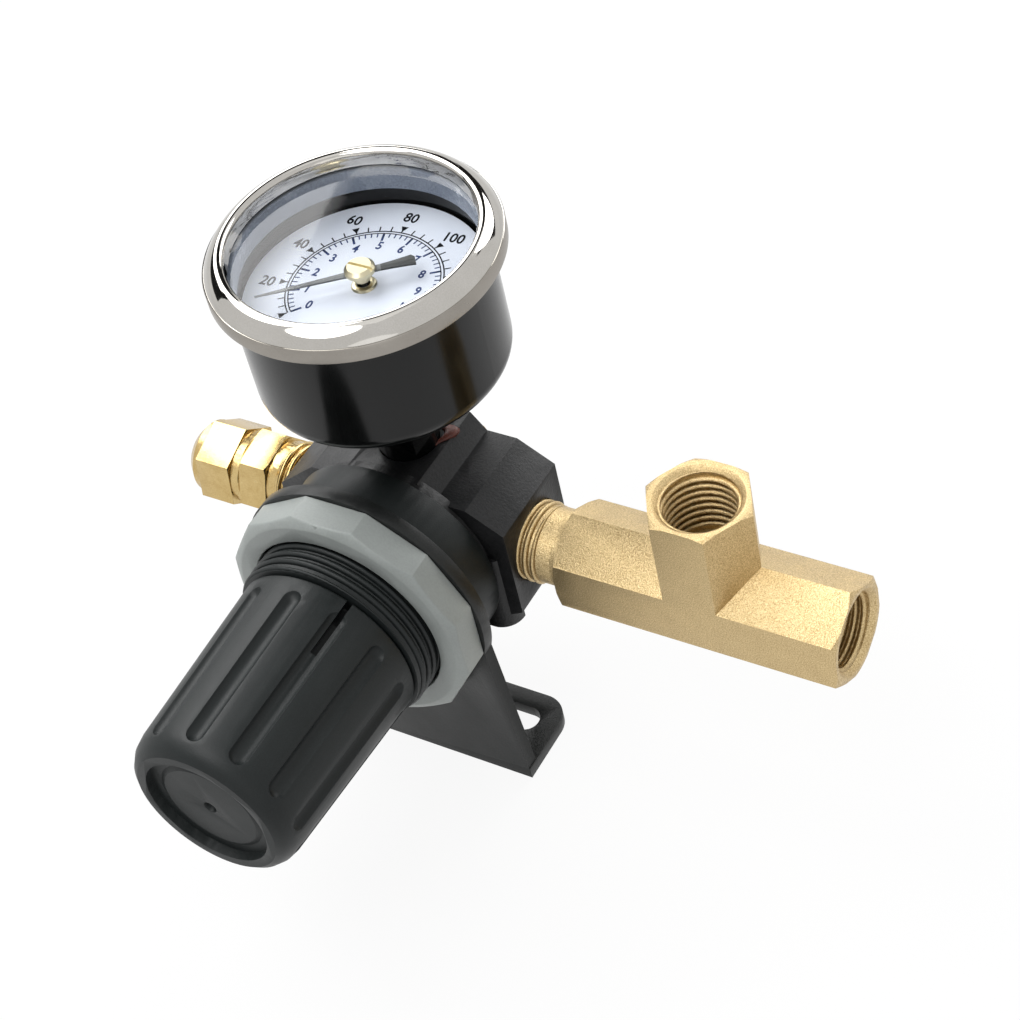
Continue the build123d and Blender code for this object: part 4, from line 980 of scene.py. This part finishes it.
POLISHED, SATIN = 0, 1
bezel_outline = [(21.8, 51.9, SATIN), (22.1, 52.2, SATIN), (22.1, 54.45, SATIN),
                 (21.98, 54.62, POLISHED), (21.86, 54.6, POLISHED)]
bezel_outline += bent((21.84, 54.7), (20.9, 56.3), (19.6, 56.85), 12, POLISHED)
bezel_outline += bent((19.6, 56.85), (18.5, 56.95), (18.42, 56.1), 9, POLISHED)
bezel_outline += [(18.4, 56.1, POLISHED), (18.25, 54.4, POLISHED), (19.1, 54.4, SATIN),
                  (19.55, 54.0, SATIN), (19.55, 51.9, SATIN)]
bezel_finishes = ["bezel_steel", "satin_steel"]
bezel_piece = turned("bezel_ring", bezel_outline, 180, bezel_finishes, AXES.z)
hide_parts("gauge_bezel")

# %% [markdown]
# ## Window and skirt
# The window lies deep under the bezel's lip, and a clear skirt reaches down from it inside the case,
# seen as a pale ring above the dark wall. That pale ring is painted light: the skirt is given an
# opaque pale colour for the light that the clear plastic catches.

# %% Window and skirt
window_outline = [(0.01, 53.82, 0), (19.05, 53.82, 0), (19.05, 54.32, 0), (0.01, 54.32, 0)]
window_piece = turned("window_disc", window_outline, 120, ["clear_window"], AXES.z)
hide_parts("gauge_lens")
# The skirt's opaque pale colour is painted light standing for light in clear plastic.
skirt_outline = [(18.05, 50.0, 0), (18.5, 50.0, 0), (18.5, 52.9, 0), (18.05, 52.9, 0)]
turned("window_skirt", skirt_outline, 120, ["window_edge_painted_light"], AXES.z)

# %% [markdown]
# ## Sealant at the gauge
# The gauge was screwed in with red thread sealant. Most of what was pressed out is a thin bead under
# the stem, and one larger drop stands at its right. A ring whose thickness wanders by a few sine
# waves looks squeezed out rather than turned.

# %% Sealant
RING, ROUND = 72, 8  # points round the stem and round the bead
DROP_AT, DROP_SPREAD = 0.57, 0.3  # radians
BEAD_HEIGHT = 15.45
FLATTENED = 0.55
bead = bmesh.new()
loops = []
for i in range(RING):
    a = 2 * math.pi * i / RING
    away = math.remainder(a - DROP_AT, 2 * math.pi)
    drop = math.exp(-(away / DROP_SPREAD) ** 2)
    waves = 0.03 * math.sin(3 * a + 0.6) + 0.02 * math.sin(7 * a) + 0.02 * math.sin(13 * a + 2.0)
    fat = 0.16 + waves + 1.1 * drop
    middle = 4.5 + 2.3 * drop
    loop = []
    for j in range(ROUND):
        b = 2 * math.pi * j / ROUND
        reach = middle + fat * math.cos(b)
        height = BEAD_HEIGHT + FLATTENED * fat * math.sin(b)
        loop.append(bead.verts.new((reach * math.cos(a), reach * math.sin(a), height)))
    loops.append(loop)
for i in range(RING):
    for j in range(ROUND):
        one, two = loops[i], loops[(i + 1) % RING]
        bead.faces.new((one[j], two[j], two[(j + 1) % ROUND], one[(j + 1) % ROUND]))
bead_mesh = closed("sealant_bead", bead, Matrix.Translation(AXES * MM) @ Matrix.Scale(MM, 4))
bead_mesh.polygons.foreach_set("use_smooth", [True] * len(bead_mesh.polygons))
bead_mesh.materials.append(looks["thread_sealant"])
keep("sealant_bead", bead_mesh, "housing")

# %% [markdown]
# ## Springs
# A spring gives way when the regulator works, so a rigid copy would cut through its neighbour. Here
# each is only copied as a plain mesh in place of the measured one, and rides on no body.

# %% Springs
for node, moving in (("regulating_spring", "spring_nut"), ("valve_spring", "valve")):
    coil = bpy.data.objects.new(node + "_soft", nodes[node].data.copy())
    scene.collection.objects.link(coil)
    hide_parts(node)
    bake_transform(coil)
    print(" ", coil.name, "gives way between the housing and the", moving)

# %% [markdown]
# ## Diaphragm
# The rubber diaphragm is clamped at its rim and moves at its middle, so it is parted into a ring and
# a disc where the real one rolls.

# %% Diaphragm
SPLIT = 10.6
PART = 0.04  # the gap between ring and disc
HOLE = 2.08  # clears the stem that it slides on
STEPS = 96
sheet_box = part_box("diaphragm")
rim_radius = sheet_box[1][0] / MM
thickness = (sheet_box[1][1] - sheet_box[0][1]) / MM
sheet_place = along_axis((0, -1, 0), (0, sheet_box[1][1] / MM, AXES.z))
for name, inner, outer, body in (("diaphragm_ring", SPLIT, rim_radius, "housing"),
                                 ("diaphragm_disc", HOLE, SPLIT - PART, "diaphragm_assembly")):
    outline = [(inner, 0, 0), (outer, 0, 0), (outer, thickness, 0), (inner, thickness, 0)]
    piece = turned(name, outline, STEPS, ["soft_rubber"], 0, body, sheet_place)
    if body == "housing":
        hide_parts("diaphragm")
